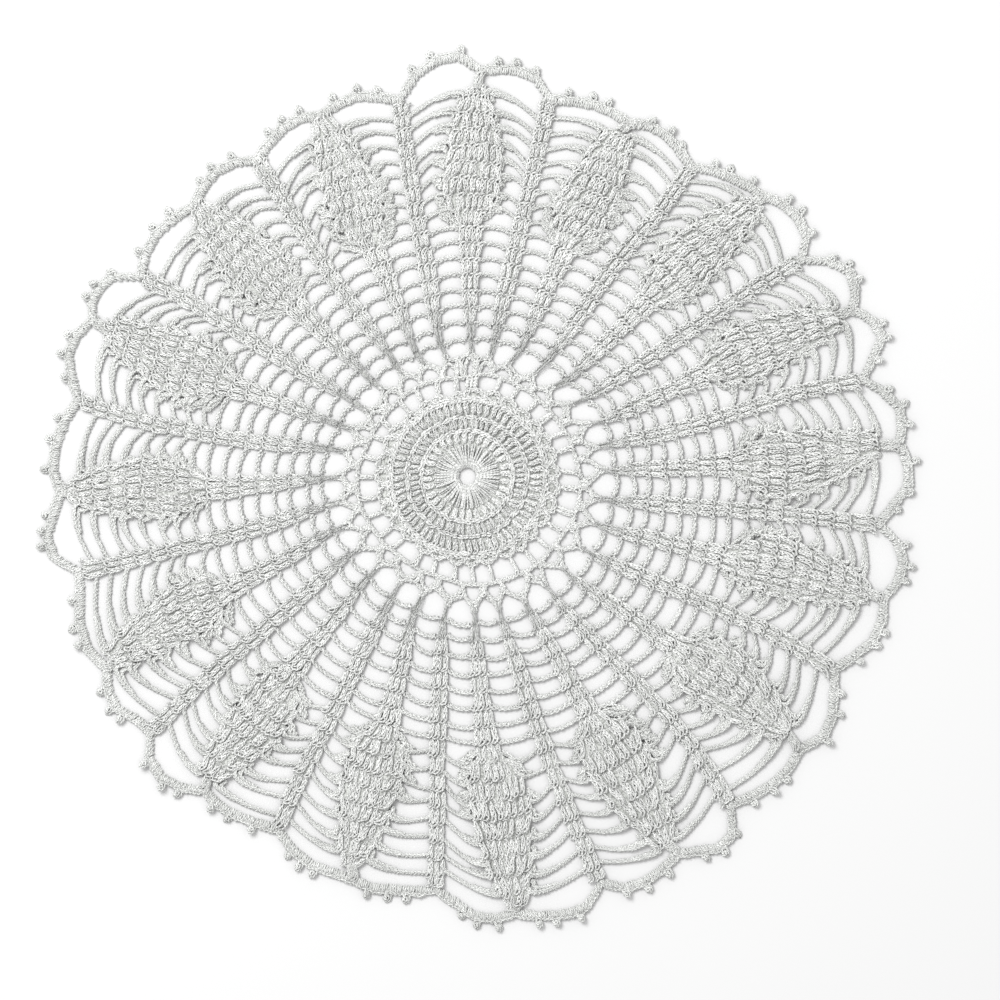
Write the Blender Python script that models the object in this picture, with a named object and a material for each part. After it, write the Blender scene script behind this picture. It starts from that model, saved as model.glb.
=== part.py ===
"""A round crocheted lace doily that lies flat, about 280 mm across.

One closed sheet. Its rounds, from the middle outwards: a dense disc with a
small eye, a net of ladder rungs between thirty-two spokes, sixteen leaves
that grow from every second spoke, and an edging of thirty-two looped arches
with three small picots each. Lengths are in millimetres until the last step.
"""
import math

import bmesh
import bpy
import numpy as np
from mathutils import Vector
from mathutils.geometry import delaunay_2d_cdt

MM = 0.001

# --- driving sizes, millimetres -------------------------------------------
EYE_RADIUS = 2.7
EYE_POINTS = 12
DISC_RINGS = (10.5, 18.5, 27.0, 33.5)
DISC_RING_POINTS = (12, 16, 32, 32)

# Distances at which the spokes' angles are given.
FOOT_RADIUS = 46.0
MID_RADIUS = 63.6
TOP_RADIUS = 80.1
OUT_RADIUS = 104.9

SPOKE_HALF = 2.85
SPOKE_FOOT_HALF = 1.75
SPOKE_WIDE_RADIUS = 64.0
RUNG_HALF = 0.85
NET_FLOOR = 39.6
NET_SHOULDER = 42.2
RUNGS = 8
ARCS = 8
RINGS_PER_GAP = 2
RUNG_BOW = 0.4
ARC_BOW_STEP = 0.38
ARC_BOW_MOST = 2.6
PLAIN_ARC_DROP = 2.0

BAND_WIDTH = 3.6
LINK_HALF = 1.9
PICOT_HIGH = 2.4
PICOT_HALF = 1.15
PICOT_SECTION = ((-1.5, 0.0), (-0.8, 1.0), (0.8, 1.0), (1.5, 0.0))
ARCH_STEPS = (0.0, 0.06, 0.25, 0.5, 0.75, 0.94, 1.0)
ARCH_SHOULDER = 0.3
ARCH_GAP_STEPS = (0.08, 0.3, 0.5, 0.7, 0.92)
ARCH_GAP = 2.2
NARROWEST_GAP = 2.4
GAP_CHECK_STEPS = (0.25, 0.5, 0.75)
ARC_END_STEP = 0.1

THREAD_HIGH = 1.3
NET_HIGH = 1.7
SPOKE_HIGH = 1.9
DISC_HIGH = 1.8
LEAF_EDGE_HIGH = 2.1
LEAF_HIGH = 2.8
BAND_HIGH = 1.6

THREAD_COLOUR = (0.81, 0.82, 0.80, 1.0)

# Leaf half width from its foot (0) to its tip (1): a drop, widest near its foot.
LEAF_SHAPE = (
    # along, half
    (0.00, 2.85),
    (0.08, 5.0),
    (0.16, 7.4),
    (0.25, 9.0),
    (0.36, 9.6),
    (0.48, 9.3),
    (0.60, 8.5),
    (0.74, 7.2),
    (0.86, 6.0),
    (0.94, 4.9),
    (1.00, 3.2),
)
LEAF_STEPS = tuple(row[0] for row in LEAF_SHAPE)
LEAF_HALVES = tuple(row[1] for row in LEAF_SHAPE)
LEAF_CROWN_STEPS = (0.06, 0.18, 0.3, 0.42, 0.54, 0.66, 0.78, 0.9)
LEAF_CROWN_POWER = 0.6
BUCKLE_AT = 0.3
BUCKLE_LONG = 0.16

# One row for each leaf repeat, counter-clockwise: the leaf spoke, then the
# plain spoke after it. Angles in degrees at four distances from the middle,
# then the distance of the first rung, the last rung and the last arc.
NET_COLUMNS = (
    "leaf_foot", "leaf_mid", "leaf_top", "leaf_out",
    "plain_foot", "plain_mid", "plain_top", "plain_out",
    "first_rung", "last_rung", "last_arc",
)
NET_ROWS = (
    (3.0, 2.9, 3.0, 2.6, 13.0, 12.9, 13.2, 14.6, 47.8, 84.4, 131.0),
    (22.7, 23.0, 23.4, 24.0, 33.6, 32.9, 33.4, 33.5, 47.3, 83.1, 128.4),
    (43.8, 44.0, 44.3, 44.0, 55.3, 55.0, 55.3, 54.0, 45.0, 81.0, 124.5),
    (66.6, 66.6, 66.7, 65.8, 78.2, 78.0, 77.6, 77.6, 44.5, 79.2, 119.7),
    (88.2, 88.7, 88.9, 88.3, 100.9, 100.5, 100.6, 100.4, 43.9, 80.0, 121.6),
    (111.6, 111.7, 112.0, 111.6, 121.8, 123.1, 123.5, 123.3, 42.4, 78.3, 117.4),
    (133.8, 134.5, 134.7, 134.9, 145.6, 146.8, 147.1, 147.3, 42.3, 77.6, 116.0),
    (157.2, 157.9, 158.3, 158.2, 167.9, 170.0, 170.4, 170.0, 43.3, 79.5, 121.0),
    (180.0, 181.9, 182.4, 181.6, 191.0, 193.2, 193.6, 193.8, 45.3, 81.9, 123.5),
    (201.4, 204.5, 204.8, 205.8, 213.3, 215.9, 216.8, 217.6, 45.0, 82.5, 126.2),
    (225.4, 227.2, 227.9, 229.4, 238.2, 239.4, 240.5, 240.9, 44.0, 81.4, 124.8),
    (248.7, 251.2, 252.2, 252.8, 261.0, 262.6, 263.7, 265.2, 44.9, 81.5, 124.8),
    (273.5, 273.9, 274.4, 275.9, 284.2, 285.6, 286.0, 287.0, 46.2, 84.5, 133.0),
    (295.7, 297.1, 297.4, 298.2, 306.6, 308.1, 309.6, 310.6, 47.4, 84.4, 132.8),
    (317.2, 319.7, 320.9, 322.2, 328.9, 331.1, 332.4, 333.2, 47.3, 84.6, 129.9),
    (340.3, 342.3, 342.8, 344.2, 351.2, 352.5, 353.1, 353.7, 47.4, 85.2, 130.0),
)

# One row for each leaf repeat: the leaf tip, then the edging. The edging
# joins the leaf tip and the plain spoke, and between two joins its outer
# edge passes three heights at a quarter, a half and three quarters.
RIM_COLUMNS = (
    "tip_at", "tip", "join_at", "join", "after_1", "after_2", "after_3",
    "plain_at", "plain_join", "next_1", "next_2", "next_3",
)
RIM_ROWS = (
    (4.5, 132.0, 4.5, 140.0, 141.5, 141.5, 137.5, 13.9, 131.5, 136.5, 141.5, 140.5),
    (23.6, 129.7, 23.5, 135.8, 139.5, 140.5, 136.5, 33.0, 128.5, 135.0, 136.0, 135.0),
    (43.5, 127.0, 43.4, 132.0, 130.8, 129.2, 127.0, 54.0, 123.7, 126.0, 128.0, 128.0),
    (66.0, 121.5, 65.3, 126.0, 127.0, 127.3, 126.2, 77.6, 125.0, 131.0, 132.5, 132.0),
    (88.4, 124.0, 88.0, 131.2, 136.0, 135.0, 131.2, 99.8, 123.4, 126.0, 128.0, 127.2),
    (112.0, 123.4, 112.0, 125.8, 127.6, 127.2, 125.0, 123.4, 122.4, 126.0, 127.4, 126.0),
    (134.8, 121.5, 135.0, 124.0, 126.0, 127.0, 126.0, 148.3, 122.8, 131.0, 133.0, 133.0),
    (157.5, 124.0, 157.0, 130.2, 133.4, 134.0, 131.0, 168.6, 127.0, 130.6, 132.4, 133.0),
    (182.0, 126.5, 182.0, 130.4, 133.0, 136.0, 135.2, 193.6, 127.8, 130.2, 133.0, 133.4),
    (207.2, 126.6, 208.0, 130.8, 134.0, 134.6, 131.6, 219.0, 130.2, 136.2, 137.6, 135.4),
    (229.2, 126.2, 230.1, 131.2, 132.0, 131.4, 129.8, 242.0, 128.2, 132.2, 134.0, 134.0),
    (253.5, 128.5, 254.4, 134.4, 135.4, 134.6, 134.0, 266.0, 132.8, 137.0, 141.2, 142.2),
    (277.0, 137.4, 276.5, 140.8, 143.0, 144.0, 143.8, 288.5, 137.0, 141.6, 142.2, 141.0),
    (298.8, 132.6, 299.5, 138.6, 141.4, 144.4, 143.6, 309.0, 135.2, 137.8, 139.6, 140.0),
    (321.8, 131.0, 321.0, 138.4, 142.0, 141.0, 137.4, 332.6, 133.6, 137.8, 141.4, 141.6),
    (344.0, 133.6, 344.0, 139.8, 143.0, 143.6, 141.0, 353.6, 133.6, 138.0, 142.6, 142.4),
)

# One row for each leaf: the widest half width of its two sides, and how far
# the shoulder on each side buckles up from the cloth.
LEAF_COLUMNS = ("lower_half", "upper_half", "lower_rise", "upper_rise")
LEAF_ROWS = (
    (11.4, 10.2, 0.5, 0.7),
    (9.4, 9.2, 0.2, 0.7),
    (9.2, 9.2, 0.2, 0.4),
    (8.9, 8.7, 0.7, 0.5),
    (8.6, 9.4, 0.2, 0.7),
    (8.8, 9.2, 0.7, 0.5),
    (9.9, 10.2, 0.2, 0.7),
    (10.4, 10.4, 0.3, 0.5),
    (9.8, 9.9, 0.4, 0.3),
    (9.4, 8.6, 0.3, 0.6),
    (8.9, 9.5, 0.3, 0.4),
    (9.8, 9.5, 0.4, 0.3),
    (9.5, 10.2, 0.6, 0.3),
    (10.4, 11.2, 0.3, 0.7),
    (11.2, 11.2, 0.5, 0.5),
    (9.6, 9.8, 0.4, 0.5),
)

# One row for each leaf repeat: the angles of the picots on its two arches.
PICOT_COLUMNS = ("first", "second", "third", "fourth", "fifth", "sixth")
PICOT_ROWS = (
    (7.0, 9.5, 11.8, 16.0, 18.5, 20.3),
    (26.7, 29.0, 31.0, 35.3, 38.5, 40.5),
    (45.6, 49.2, 51.2, 56.6, 59.2, 62.5),
    (69.0, 71.3, 74.7, 80.0, 82.8, 85.3),
    (90.5, 94.7, 97.2, 102.6, 105.8, 109.2),
    (114.5, 117.3, 119.5, 126.0, 129.3, 131.8),
    (138.4, 141.3, 145.4, 150.0, 152.0, 154.2),
    (160.0, 162.8, 166.0, 171.6, 174.6, 178.6),
    (185.0, 187.2, 189.2, 197.3, 200.8, 203.5),
    (210.5, 212.8, 214.8, 221.7, 225.2, 227.5),
    (232.2, 235.3, 238.7, 244.8, 246.9, 249.0),
    (256.6, 259.5, 262.0, 269.3, 271.4, 274.0),
    (279.3, 281.4, 284.7, 290.9, 294.0, 297.2),
    (302.3, 304.8, 307.2, 311.7, 314.6, 316.8),
    (324.0, 327.5, 330.1, 335.2, 337.7, 339.8),
    (346.7, 348.8, 351.2, 355.8, 358.0, 362.0),
)

LEAVES = len(NET_ROWS)
SPOKES = 2 * LEAVES


def table(columns, rows):
    return [dict(zip(columns, row)) for row in rows]


NET = table(NET_COLUMNS, NET_ROWS)
RIM = table(RIM_COLUMNS, RIM_ROWS)
LEAF = table(LEAF_COLUMNS, LEAF_ROWS)
PICOTS = table(PICOT_COLUMNS, PICOT_ROWS)


def is_leaf(spoke):
    return spoke % 2 == 0


def lap(spoke):
    """Full turns made by a spoke number that runs past the last one."""
    return 360.0 * (spoke // SPOKES)


def spoke_angle(spoke, radius):
    """Angle of a spoke's centre line at a distance from the middle."""
    row = NET[(spoke % SPOKES) // 2]
    rim = RIM[(spoke % SPOKES) // 2]
    if is_leaf(spoke):
        end_radius = rim["tip"]
        end_angle = rim["tip_at"]
        names = ("leaf_foot", "leaf_mid", "leaf_top", "leaf_out")
    else:
        end_radius = rim["plain_join"]
        end_angle = rim["plain_at"]
        names = ("plain_foot", "plain_mid", "plain_top", "plain_out")
    radii = (FOOT_RADIUS, MID_RADIUS, TOP_RADIUS, OUT_RADIUS, end_radius)
    angles = [row[name] for name in names] + [end_angle]
    return float(np.interp(radius, radii, angles)) + lap(spoke)


def ring_radius(spoke, ring):
    """Distance of a rung (1 to 8) or arc (9 to 16) where it meets a spoke."""
    index = (spoke % SPOKES) // 2
    here = NET[index]
    after = NET[(index + 1) % LEAVES]
    share = 0.0 if is_leaf(spoke) else 0.5
    first = here["first_rung"] * (1.0 - share) + after["first_rung"] * share
    last = here["last_rung"] * (1.0 - share) + after["last_rung"] * share
    arc = here["last_arc"] * (1.0 - share) + after["last_arc"] * share
    if not is_leaf(spoke):
        arc -= PLAIN_ARC_DROP
    radii = (first, last, arc)
    return float(np.interp(ring, (1, RUNGS, RUNGS + ARCS), radii))


def leaf_along(spoke, radius):
    """How far along its leaf a distance is: 0 at the foot, 1 at the tip."""
    last = ring_radius(spoke, RUNGS)
    tip = RIM[(spoke % SPOKES) // 2]["tip"]
    return (radius - last) / (tip - last)


def leaf_half(spoke, radius, side):
    """Half the width of a leaf on one side: side +1 is counter-clockwise."""
    half = float(np.interp(leaf_along(spoke, radius), LEAF_STEPS, LEAF_HALVES))
    narrow = LEAF_HALVES[0]
    widest = max(LEAF_HALVES)
    own = LEAF[(spoke % SPOKES) // 2]["upper_half" if side > 0 else "lower_half"]
    swell = max((half - narrow) / (widest - narrow), 0.0)
    return half * (1.0 + (own / widest - 1.0) * swell)


def edge_angle(spoke, radius, side):
    """Angle of the edge of a spoke, or of the leaf it turns into."""
    if is_leaf(spoke) and radius >= ring_radius(spoke, RUNGS):
        half = leaf_half(spoke, radius, side)
    else:
        half = float(np.interp(radius, (FOOT_RADIUS, SPOKE_WIDE_RADIUS), (SPOKE_FOOT_HALF, SPOKE_HALF)))
    return spoke_angle(spoke, radius) + side * math.degrees(half / radius)


def at(radius, angle):
    turn = math.radians(angle)
    return (radius * math.cos(turn), radius * math.sin(turn))


def ring_between(spoke, ring, share):
    """Distance of a rung or arc part of the way to the next spoke."""
    low = ring_radius(spoke, ring)
    high = ring_radius(spoke + 1, ring)
    bow = min(RUNG_BOW + ARC_BOW_STEP * max(ring - RUNGS, 0), ARC_BOW_MOST)
    lift = bow * 4.0 * share * (1.0 - share)
    radius = low * (1.0 - share) + high * share + lift
    if ring < RUNGS + ARCS:
        return radius
    roof = arch_radius(spoke % SPOKES, share) - BAND_WIDTH
    return min(radius, roof - RUNG_HALF - ARCH_GAP)


def gap_points(spoke, low_ring, high_ring):
    """One opening between two spokes, from one ring to another."""
    points = []
    top = ring_between(spoke, high_ring, ARCH_STEPS[1]) - RUNG_HALF
    top_next = ring_between(spoke, high_ring, ARCH_STEPS[-2]) - RUNG_HALF
    if low_ring == 0:
        first = edge_angle(spoke, NET_SHOULDER, 1)
        second = edge_angle(spoke + 1, NET_SHOULDER, -1)
        middle = 0.5 * (first + second)
        points.append((at(NET_SHOULDER, first), NET_HIGH))
        points.append((at(NET_FLOOR, middle), NET_HIGH))
        points.append((at(NET_SHOULDER, second), NET_HIGH))
        floor = NET_SHOULDER
        floor_next = NET_SHOULDER
    else:
        floor = ring_radius(spoke, low_ring) + RUNG_HALF
        floor_next = ring_radius(spoke + 1, low_ring) + RUNG_HALF
        first = edge_angle(spoke, floor, 1)
        second = edge_angle(spoke + 1, floor_next, -1)
        middle = 0.5 * (first + second)
        radius = ring_between(spoke, low_ring, 0.5) + RUNG_HALF
        points.append((at(floor, first), SPOKE_HIGH))
        points.append((at(radius, middle), THREAD_HIGH))
        points.append((at(floor_next, second), SPOKE_HIGH))
    if low_ring >= RUNGS:
        mid_radius = 0.5 * (floor_next + top_next)
        second = edge_angle(spoke + 1, mid_radius, -1)
        if is_leaf(spoke + 1):
            points.append((at(mid_radius, second), leaf_edge_high(spoke + 1, mid_radius, -1)))
    top_second = edge_angle(spoke + 1, top_next, -1)
    top_first = edge_angle(spoke, top, 1)
    top_middle = ring_between(spoke, high_ring, 0.5) - RUNG_HALF
    points.append((at(top_next, top_second), SPOKE_HIGH))
    points.append((at(top_middle, 0.5 * (top_first + top_second)), THREAD_HIGH))
    points.append((at(top, top_first), SPOKE_HIGH))
    if low_ring >= RUNGS:
        mid_radius = 0.5 * (floor + top)
        first = edge_angle(spoke, mid_radius, 1)
        if is_leaf(spoke):
            points.append((at(mid_radius, first), leaf_edge_high(spoke, mid_radius, 1)))
    return points


def gap_is_open(spoke, low_ring, high_ring):
    """Openings that the leaf nearly closes are left out."""
    if low_ring < RUNGS:
        return True
    spans = []
    for share in GAP_CHECK_STEPS:
        ring = low_ring + share * (high_ring - low_ring)
        radius = 0.5 * (ring_radius(spoke, ring) + ring_radius(spoke + 1, ring))
        span = edge_angle(spoke + 1, radius, -1) - edge_angle(spoke, radius, 1)
        spans.append(math.radians(span) * radius)
    return min(spans) > NARROWEST_GAP


def leaf_edge_high(spoke, radius, side):
    """Height of a leaf's edge: highest where its shoulder buckles."""
    rise = LEAF[(spoke % SPOKES) // 2]["upper_rise" if side > 0 else "lower_rise"]
    hump = math.exp(-((leaf_along(spoke, radius) - BUCKLE_AT) / BUCKLE_LONG) ** 2)
    return LEAF_EDGE_HIGH + rise * hump


def rim_joins():
    """Joins of the edging, counter-clockwise: leaf, plain, leaf, ..."""
    joins = []
    for row in RIM:
        joins.append((row["join_at"], row["join"], (row["after_1"], row["after_2"], row["after_3"])))
        joins.append((row["plain_at"], row["plain_join"], (row["next_1"], row["next_2"], row["next_3"])))
    return joins


JOINS = rim_joins()


def arch_radius(arch, share):
    """Outer edge of the edging, without its picots."""
    start = JOINS[arch][1]
    end = JOINS[(arch + 1) % SPOKES][1]
    first, second, third = JOINS[arch][2]
    rise = ARCH_SHOULDER * (first - start)
    fall = ARCH_SHOULDER * (third - end)
    radii = (start, start + rise, first, second, third, end + fall, end)
    return float(np.interp(share, ARCH_STEPS, radii))


def arch_angle(arch, share):
    start = JOINS[arch][0]
    end = JOINS[(arch + 1) % SPOKES][0]
    if arch == SPOKES - 1:
        end += 360.0
    return start + share * (end - start)


def picot_shares(arch):
    """Places of an arch's three picots along it, and half a picot's share."""
    row = PICOTS[arch // 2]
    names = PICOT_COLUMNS[:3] if is_leaf(arch) else PICOT_COLUMNS[3:]
    start = arch_angle(arch, 0.0)
    span = arch_angle(arch, 1.0) - start
    half = PICOT_HALF / (math.radians(span) * arch_radius(arch, 0.5))
    foot = PICOT_SECTION[-1][0] * half + 0.01
    return [min(max((row[name] - start) / span, foot), 1.0 - foot) for name in names], half


def outline_points():
    """Outer edge with three picots on each arch."""
    points = []
    for arch in range(SPOKES):
        shares, half = picot_shares(arch)
        foot = PICOT_SECTION[-1][0] * half + 0.005
        steps = [(0.0, 0.0)]
        for share in ARCH_STEPS[1:-1]:
            if all(abs(share - picot) > foot for picot in shares):
                steps.append((share, 0.0))
        for picot in shares:
            for shift, high in PICOT_SECTION:
                steps.append((picot + shift * half, high * PICOT_HIGH))
        for share, high in sorted(steps):
            points.append((at(arch_radius(arch, share) + high, arch_angle(arch, share)), BAND_HIGH))
    return points


def arch_gap_points(arch):
    """The opening under one arch, above the last arc of the net."""
    spoke = arch
    last = RUNGS + ARCS
    if is_leaf(spoke):
        leaf_side = 1
        leaf_spoke = spoke
    else:
        leaf_side = -1
        leaf_spoke = spoke + 1
    points = []
    for share in ARCH_GAP_STEPS:
        radius = arch_radius(arch, share) - BAND_WIDTH
        points.append((share, radius))
    link = LINK_HALF / (2.0 * math.pi / SPOKES * points[2][1])
    outer = []
    for share, radius in points:
        place = link + share * (1.0 - 2.0 * link)
        outer.append((at(radius, arch_angle(arch, place)), BAND_HIGH))
    start_radius = ring_between(spoke, last, ARC_END_STEP) + RUNG_HALF
    end_radius = ring_between(spoke, last, 1.0 - ARC_END_STEP) + RUNG_HALF
    tip = RIM[(leaf_spoke % SPOKES) // 2]["tip"]
    if leaf_side > 0:
        start_radius = max(start_radius, min(tip, points[0][1] - ARCH_GAP))
    else:
        end_radius = max(end_radius, min(tip, points[-1][1] - ARCH_GAP))
    start_angle = edge_angle(spoke, start_radius, 1)
    end_angle = edge_angle(spoke + 1, end_radius, -1)
    inner = [(at(end_radius, end_angle), SPOKE_HIGH)]
    for share in reversed(ARCH_GAP_STEPS[1:-1]):
        radius = ring_between(spoke, last, share) + RUNG_HALF
        angle = start_angle + share * (end_angle - start_angle)
        inner.append((at(radius, angle), THREAD_HIGH))
    inner.append((at(start_radius, start_angle), SPOKE_HIGH))
    return outer + inner


def inside(point, loop):
    """Whether a flat point lies within a loop."""
    x, y = point
    hit = False
    count = len(loop)
    for i in range(count):
        x0, y0 = loop[i]
        x1, y1 = loop[(i + 1) % count]
        if (y0 > y) != (y1 > y):
            if x < x0 + (y - y0) * (x1 - x0) / (y1 - y0):
                hit = not hit
    return hit


def all_loops():
    """The outline first, then every opening."""
    loops = [outline_points()]
    eye = []
    for i in range(EYE_POINTS):
        eye.append((at(EYE_RADIUS, 360.0 * i / EYE_POINTS), DISC_HIGH))
    loops.append(eye)
    for spoke in range(SPOKES):
        for low_ring in range(0, RUNGS + ARCS, RINGS_PER_GAP):
            high_ring = low_ring + RINGS_PER_GAP
            if gap_is_open(spoke, low_ring, high_ring):
                loops.append(gap_points(spoke, low_ring, high_ring))
        loops.append(arch_gap_points(spoke))
    return loops


def crown_points():
    """Points inside the cloth that give the top its relief."""
    points = []
    for radius, count in zip(DISC_RINGS, DISC_RING_POINTS):
        for i in range(count):
            angle = 360.0 * (i + 0.5) / count
            if count == SPOKES:
                angle = spoke_angle(i, FOOT_RADIUS)
            points.append((at(radius, angle), DISC_HIGH))
    for spoke in range(0, SPOKES, 2):
        tip = RIM[spoke // 2]["tip"]
        last = ring_radius(spoke, RUNGS)
        for along in LEAF_CROWN_STEPS:
            radius = last + along * (tip - last)
            high = SPOKE_HIGH + (LEAF_HIGH - SPOKE_HIGH) * math.sin(math.pi * along) ** LEAF_CROWN_POWER
            points.append((at(radius, spoke_angle(spoke, radius)), high))
    return points


def flat_triangles(loops, extra):
    """Triangles of the cloth between its outline and its openings."""
    points = []
    heights = []
    edges = []
    for loop in loops:
        start = len(points)
        count = len(loop)
        for i, (place, high) in enumerate(loop):
            points.append(Vector(place))
            heights.append(high)
            edges.append((start + i, start + (i + 1) % count))
    for place, high in extra:
        points.append(Vector(place))
        heights.append(high)
    result = delaunay_2d_cdt(points, edges, [], 0, 1e-7)
    places, faces, sources = result[0], result[2], result[3]
    if len(places) != len(points):
        raise RuntimeError("two loops of the cloth cross or touch")
    order = [source[0] for source in sources]
    flat = [[place for place, high in loop] for loop in loops]
    boxes = []
    for loop in flat:
        xs = [p[0] for p in loop]
        ys = [p[1] for p in loop]
        boxes.append((min(xs), max(xs), min(ys), max(ys)))
    kept = []
    for face in faces:
        corners = [places[i] for i in face]
        middle = (sum(c.x for c in corners) / 3.0, sum(c.y for c in corners) / 3.0)
        if not inside(middle, flat[0]):
            continue
        in_gap = False
        for loop, box in zip(flat[1:], boxes[1:]):
            if box[0] < middle[0] < box[1] and box[2] < middle[1] < box[3]:
                if inside(middle, loop):
                    in_gap = True
                    break
        if not in_gap:
            kept.append([order[i] for i in face])
    return points, heights, edges, kept


def build_sheet():
    loops = all_loops()
    top_points, top_heights, edges, top_faces = flat_triangles(loops, crown_points())
    low_points, low_heights, low_edges, low_faces = flat_triangles(loops, [])
    outline = [place for place, high in loops[0]]
    xs = [p[0] for p in outline]
    ys = [p[1] for p in outline]
    shift_x = 0.5 * (min(xs) + max(xs))
    shift_y = 0.5 * (min(ys) + max(ys))
    mesh = bpy.data.meshes.new("doily")
    body = bmesh.new()
    top = []
    for place, high in zip(top_points, top_heights):
        top.append(body.verts.new(((place.x - shift_x) * MM, (place.y - shift_y) * MM, high * MM)))
    low = []
    for place in low_points:
        low.append(body.verts.new(((place.x - shift_x) * MM, (place.y - shift_y) * MM, 0.0)))
    for face in top_faces:
        body.faces.new([top[i] for i in face])
    for face in low_faces:
        body.faces.new([low[i] for i in reversed(face)])
    for first, second in edges:
        body.faces.new((low[first], low[second], top[second]))
        body.faces.new((low[first], top[second], top[first]))
    bmesh.ops.recalc_face_normals(body, faces=body.faces)
    body.to_mesh(mesh)
    body.free()
    print("openings", len(loops) - 1, "triangles", len(mesh.polygons))
    return mesh


def thread_material():
    material = bpy.data.materials.new("cotton_thread")
    material.use_nodes = True
    shader = material.node_tree.nodes["Principled BSDF"]
    shader.inputs["Base Color"].default_value = THREAD_COLOUR
    shader.inputs["Roughness"].default_value = 0.85
    shader.inputs["Metallic"].default_value = 0.0
    return material


def main():
    for item in list(bpy.data.objects):
        bpy.data.objects.remove(item, do_unlink=True)
    mesh = build_sheet()
    doily = bpy.data.objects.new("doily", mesh)
    mesh.materials.append(thread_material())
    bpy.context.scene.collection.objects.link(doily)


main()
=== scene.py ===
import math

import bpy
import numpy as np
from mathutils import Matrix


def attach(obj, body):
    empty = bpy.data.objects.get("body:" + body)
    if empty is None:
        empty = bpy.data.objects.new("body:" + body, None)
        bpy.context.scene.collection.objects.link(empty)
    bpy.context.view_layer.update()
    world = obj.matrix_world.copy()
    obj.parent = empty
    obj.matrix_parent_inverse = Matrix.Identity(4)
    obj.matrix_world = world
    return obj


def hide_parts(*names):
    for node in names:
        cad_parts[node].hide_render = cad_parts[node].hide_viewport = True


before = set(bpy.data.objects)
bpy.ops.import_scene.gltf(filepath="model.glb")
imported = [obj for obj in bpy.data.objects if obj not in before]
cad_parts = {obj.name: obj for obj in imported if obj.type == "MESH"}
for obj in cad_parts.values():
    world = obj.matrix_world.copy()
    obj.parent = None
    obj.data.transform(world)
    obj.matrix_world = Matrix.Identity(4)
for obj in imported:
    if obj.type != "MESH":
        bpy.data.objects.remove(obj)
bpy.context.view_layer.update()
mm = 0.001

# The cloth is charted in millimetres and degrees about its crochet centre.
cloth = {
    "middle": (-3.891, 2.961),  # crochet centre, from the middle of the box
    "footRadius": 46.0,  # the spokes' angles are charted at these four radii
    "midRadius": 63.6,
    "topRadius": 80.1,
    "outRadius": 104.9,
    "rungs": 8,
    "arcs": 8,
    "plainArcDrop": 2.0,  # how much further in an arc meets its plain spoke
    "spokeHalf": 2.85,
    "spokeFootHalf": 1.75,
    "wideRadius": 64.0,
    "bandWidth": 3.6,
    "archSteps": (0.0, 0.06, 0.25, 0.5, 0.75, 0.94, 1.0),
    "archShoulder": 0.3,
}
# The first rounds sit a little off the crochet centre.
drift = {
    "radius": (0.0, 8.0, 17.0, 22.0, 26.0, 30.0),
    "x": (0.6, 0.5, 0.6, 0.7, 0.9, 0.0),
    "y": (0.5, 0.6, 0.5, 0.15, 0.2, 0.0),
}

leafShape = (
    # along, half width
    (0.00, 2.85),
    (0.08, 5.0),
    (0.16, 7.4),
    (0.25, 9.0),
    (0.36, 9.6),
    (0.48, 9.3),
    (0.60, 8.5),
    (0.74, 7.2),
    (0.86, 6.0),
    (0.94, 4.9),
    (1.00, 3.2),
)

# One row for each leaf repeat: the leaf spoke, then the plain spoke after it.
netColumns = (
    "leafFoot", "leafMid", "leafTop", "leafOut",
    "plainFoot", "plainMid", "plainTop", "plainOut",
    "firstRung", "lastRung", "lastArc",
)
netRows = (
    (3.0, 2.9, 3.0, 2.6, 13.0, 12.9, 13.2, 14.6, 47.8, 84.4, 131.0),
    (22.7, 23.0, 23.4, 24.0, 33.6, 32.9, 33.4, 33.5, 47.3, 83.1, 128.4),
    (43.8, 44.0, 44.3, 44.0, 55.3, 55.0, 55.3, 54.0, 45.0, 81.0, 124.5),
    (66.6, 66.6, 66.7, 65.8, 78.2, 78.0, 77.6, 77.6, 44.5, 79.2, 119.7),
    (88.2, 88.7, 88.9, 88.3, 100.9, 100.5, 100.6, 100.4, 43.9, 80.0, 121.6),
    (111.6, 111.7, 112.0, 111.6, 121.8, 123.1, 123.5, 123.3, 42.4, 78.3, 117.4),
    (133.8, 134.5, 134.7, 134.9, 145.6, 146.8, 147.1, 147.3, 42.3, 77.6, 116.0),
    (157.2, 157.9, 158.3, 158.2, 167.9, 170.0, 170.4, 170.0, 43.3, 79.5, 121.0),
    (180.0, 181.9, 182.4, 181.6, 191.0, 193.2, 193.6, 193.8, 45.3, 81.9, 123.5),
    (201.4, 204.5, 204.8, 205.8, 213.3, 215.9, 216.8, 217.6, 45.0, 82.5, 126.2),
    (225.4, 227.2, 227.9, 229.4, 238.2, 239.4, 240.5, 240.9, 44.0, 81.4, 124.8),
    (248.7, 251.2, 252.2, 252.8, 261.0, 262.6, 263.7, 265.2, 44.9, 81.5, 124.8),
    (273.5, 273.9, 274.4, 275.9, 284.2, 285.6, 286.0, 287.0, 46.2, 84.5, 133.0),
    (295.7, 297.1, 297.4, 298.2, 306.6, 308.1, 309.6, 310.6, 47.4, 84.4, 132.8),
    (317.2, 319.7, 320.9, 322.2, 328.9, 331.1, 332.4, 333.2, 47.3, 84.6, 129.9),
    (340.3, 342.3, 342.8, 344.2, 351.2, 352.5, 353.1, 353.7, 47.4, 85.2, 130.0),
)

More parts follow.
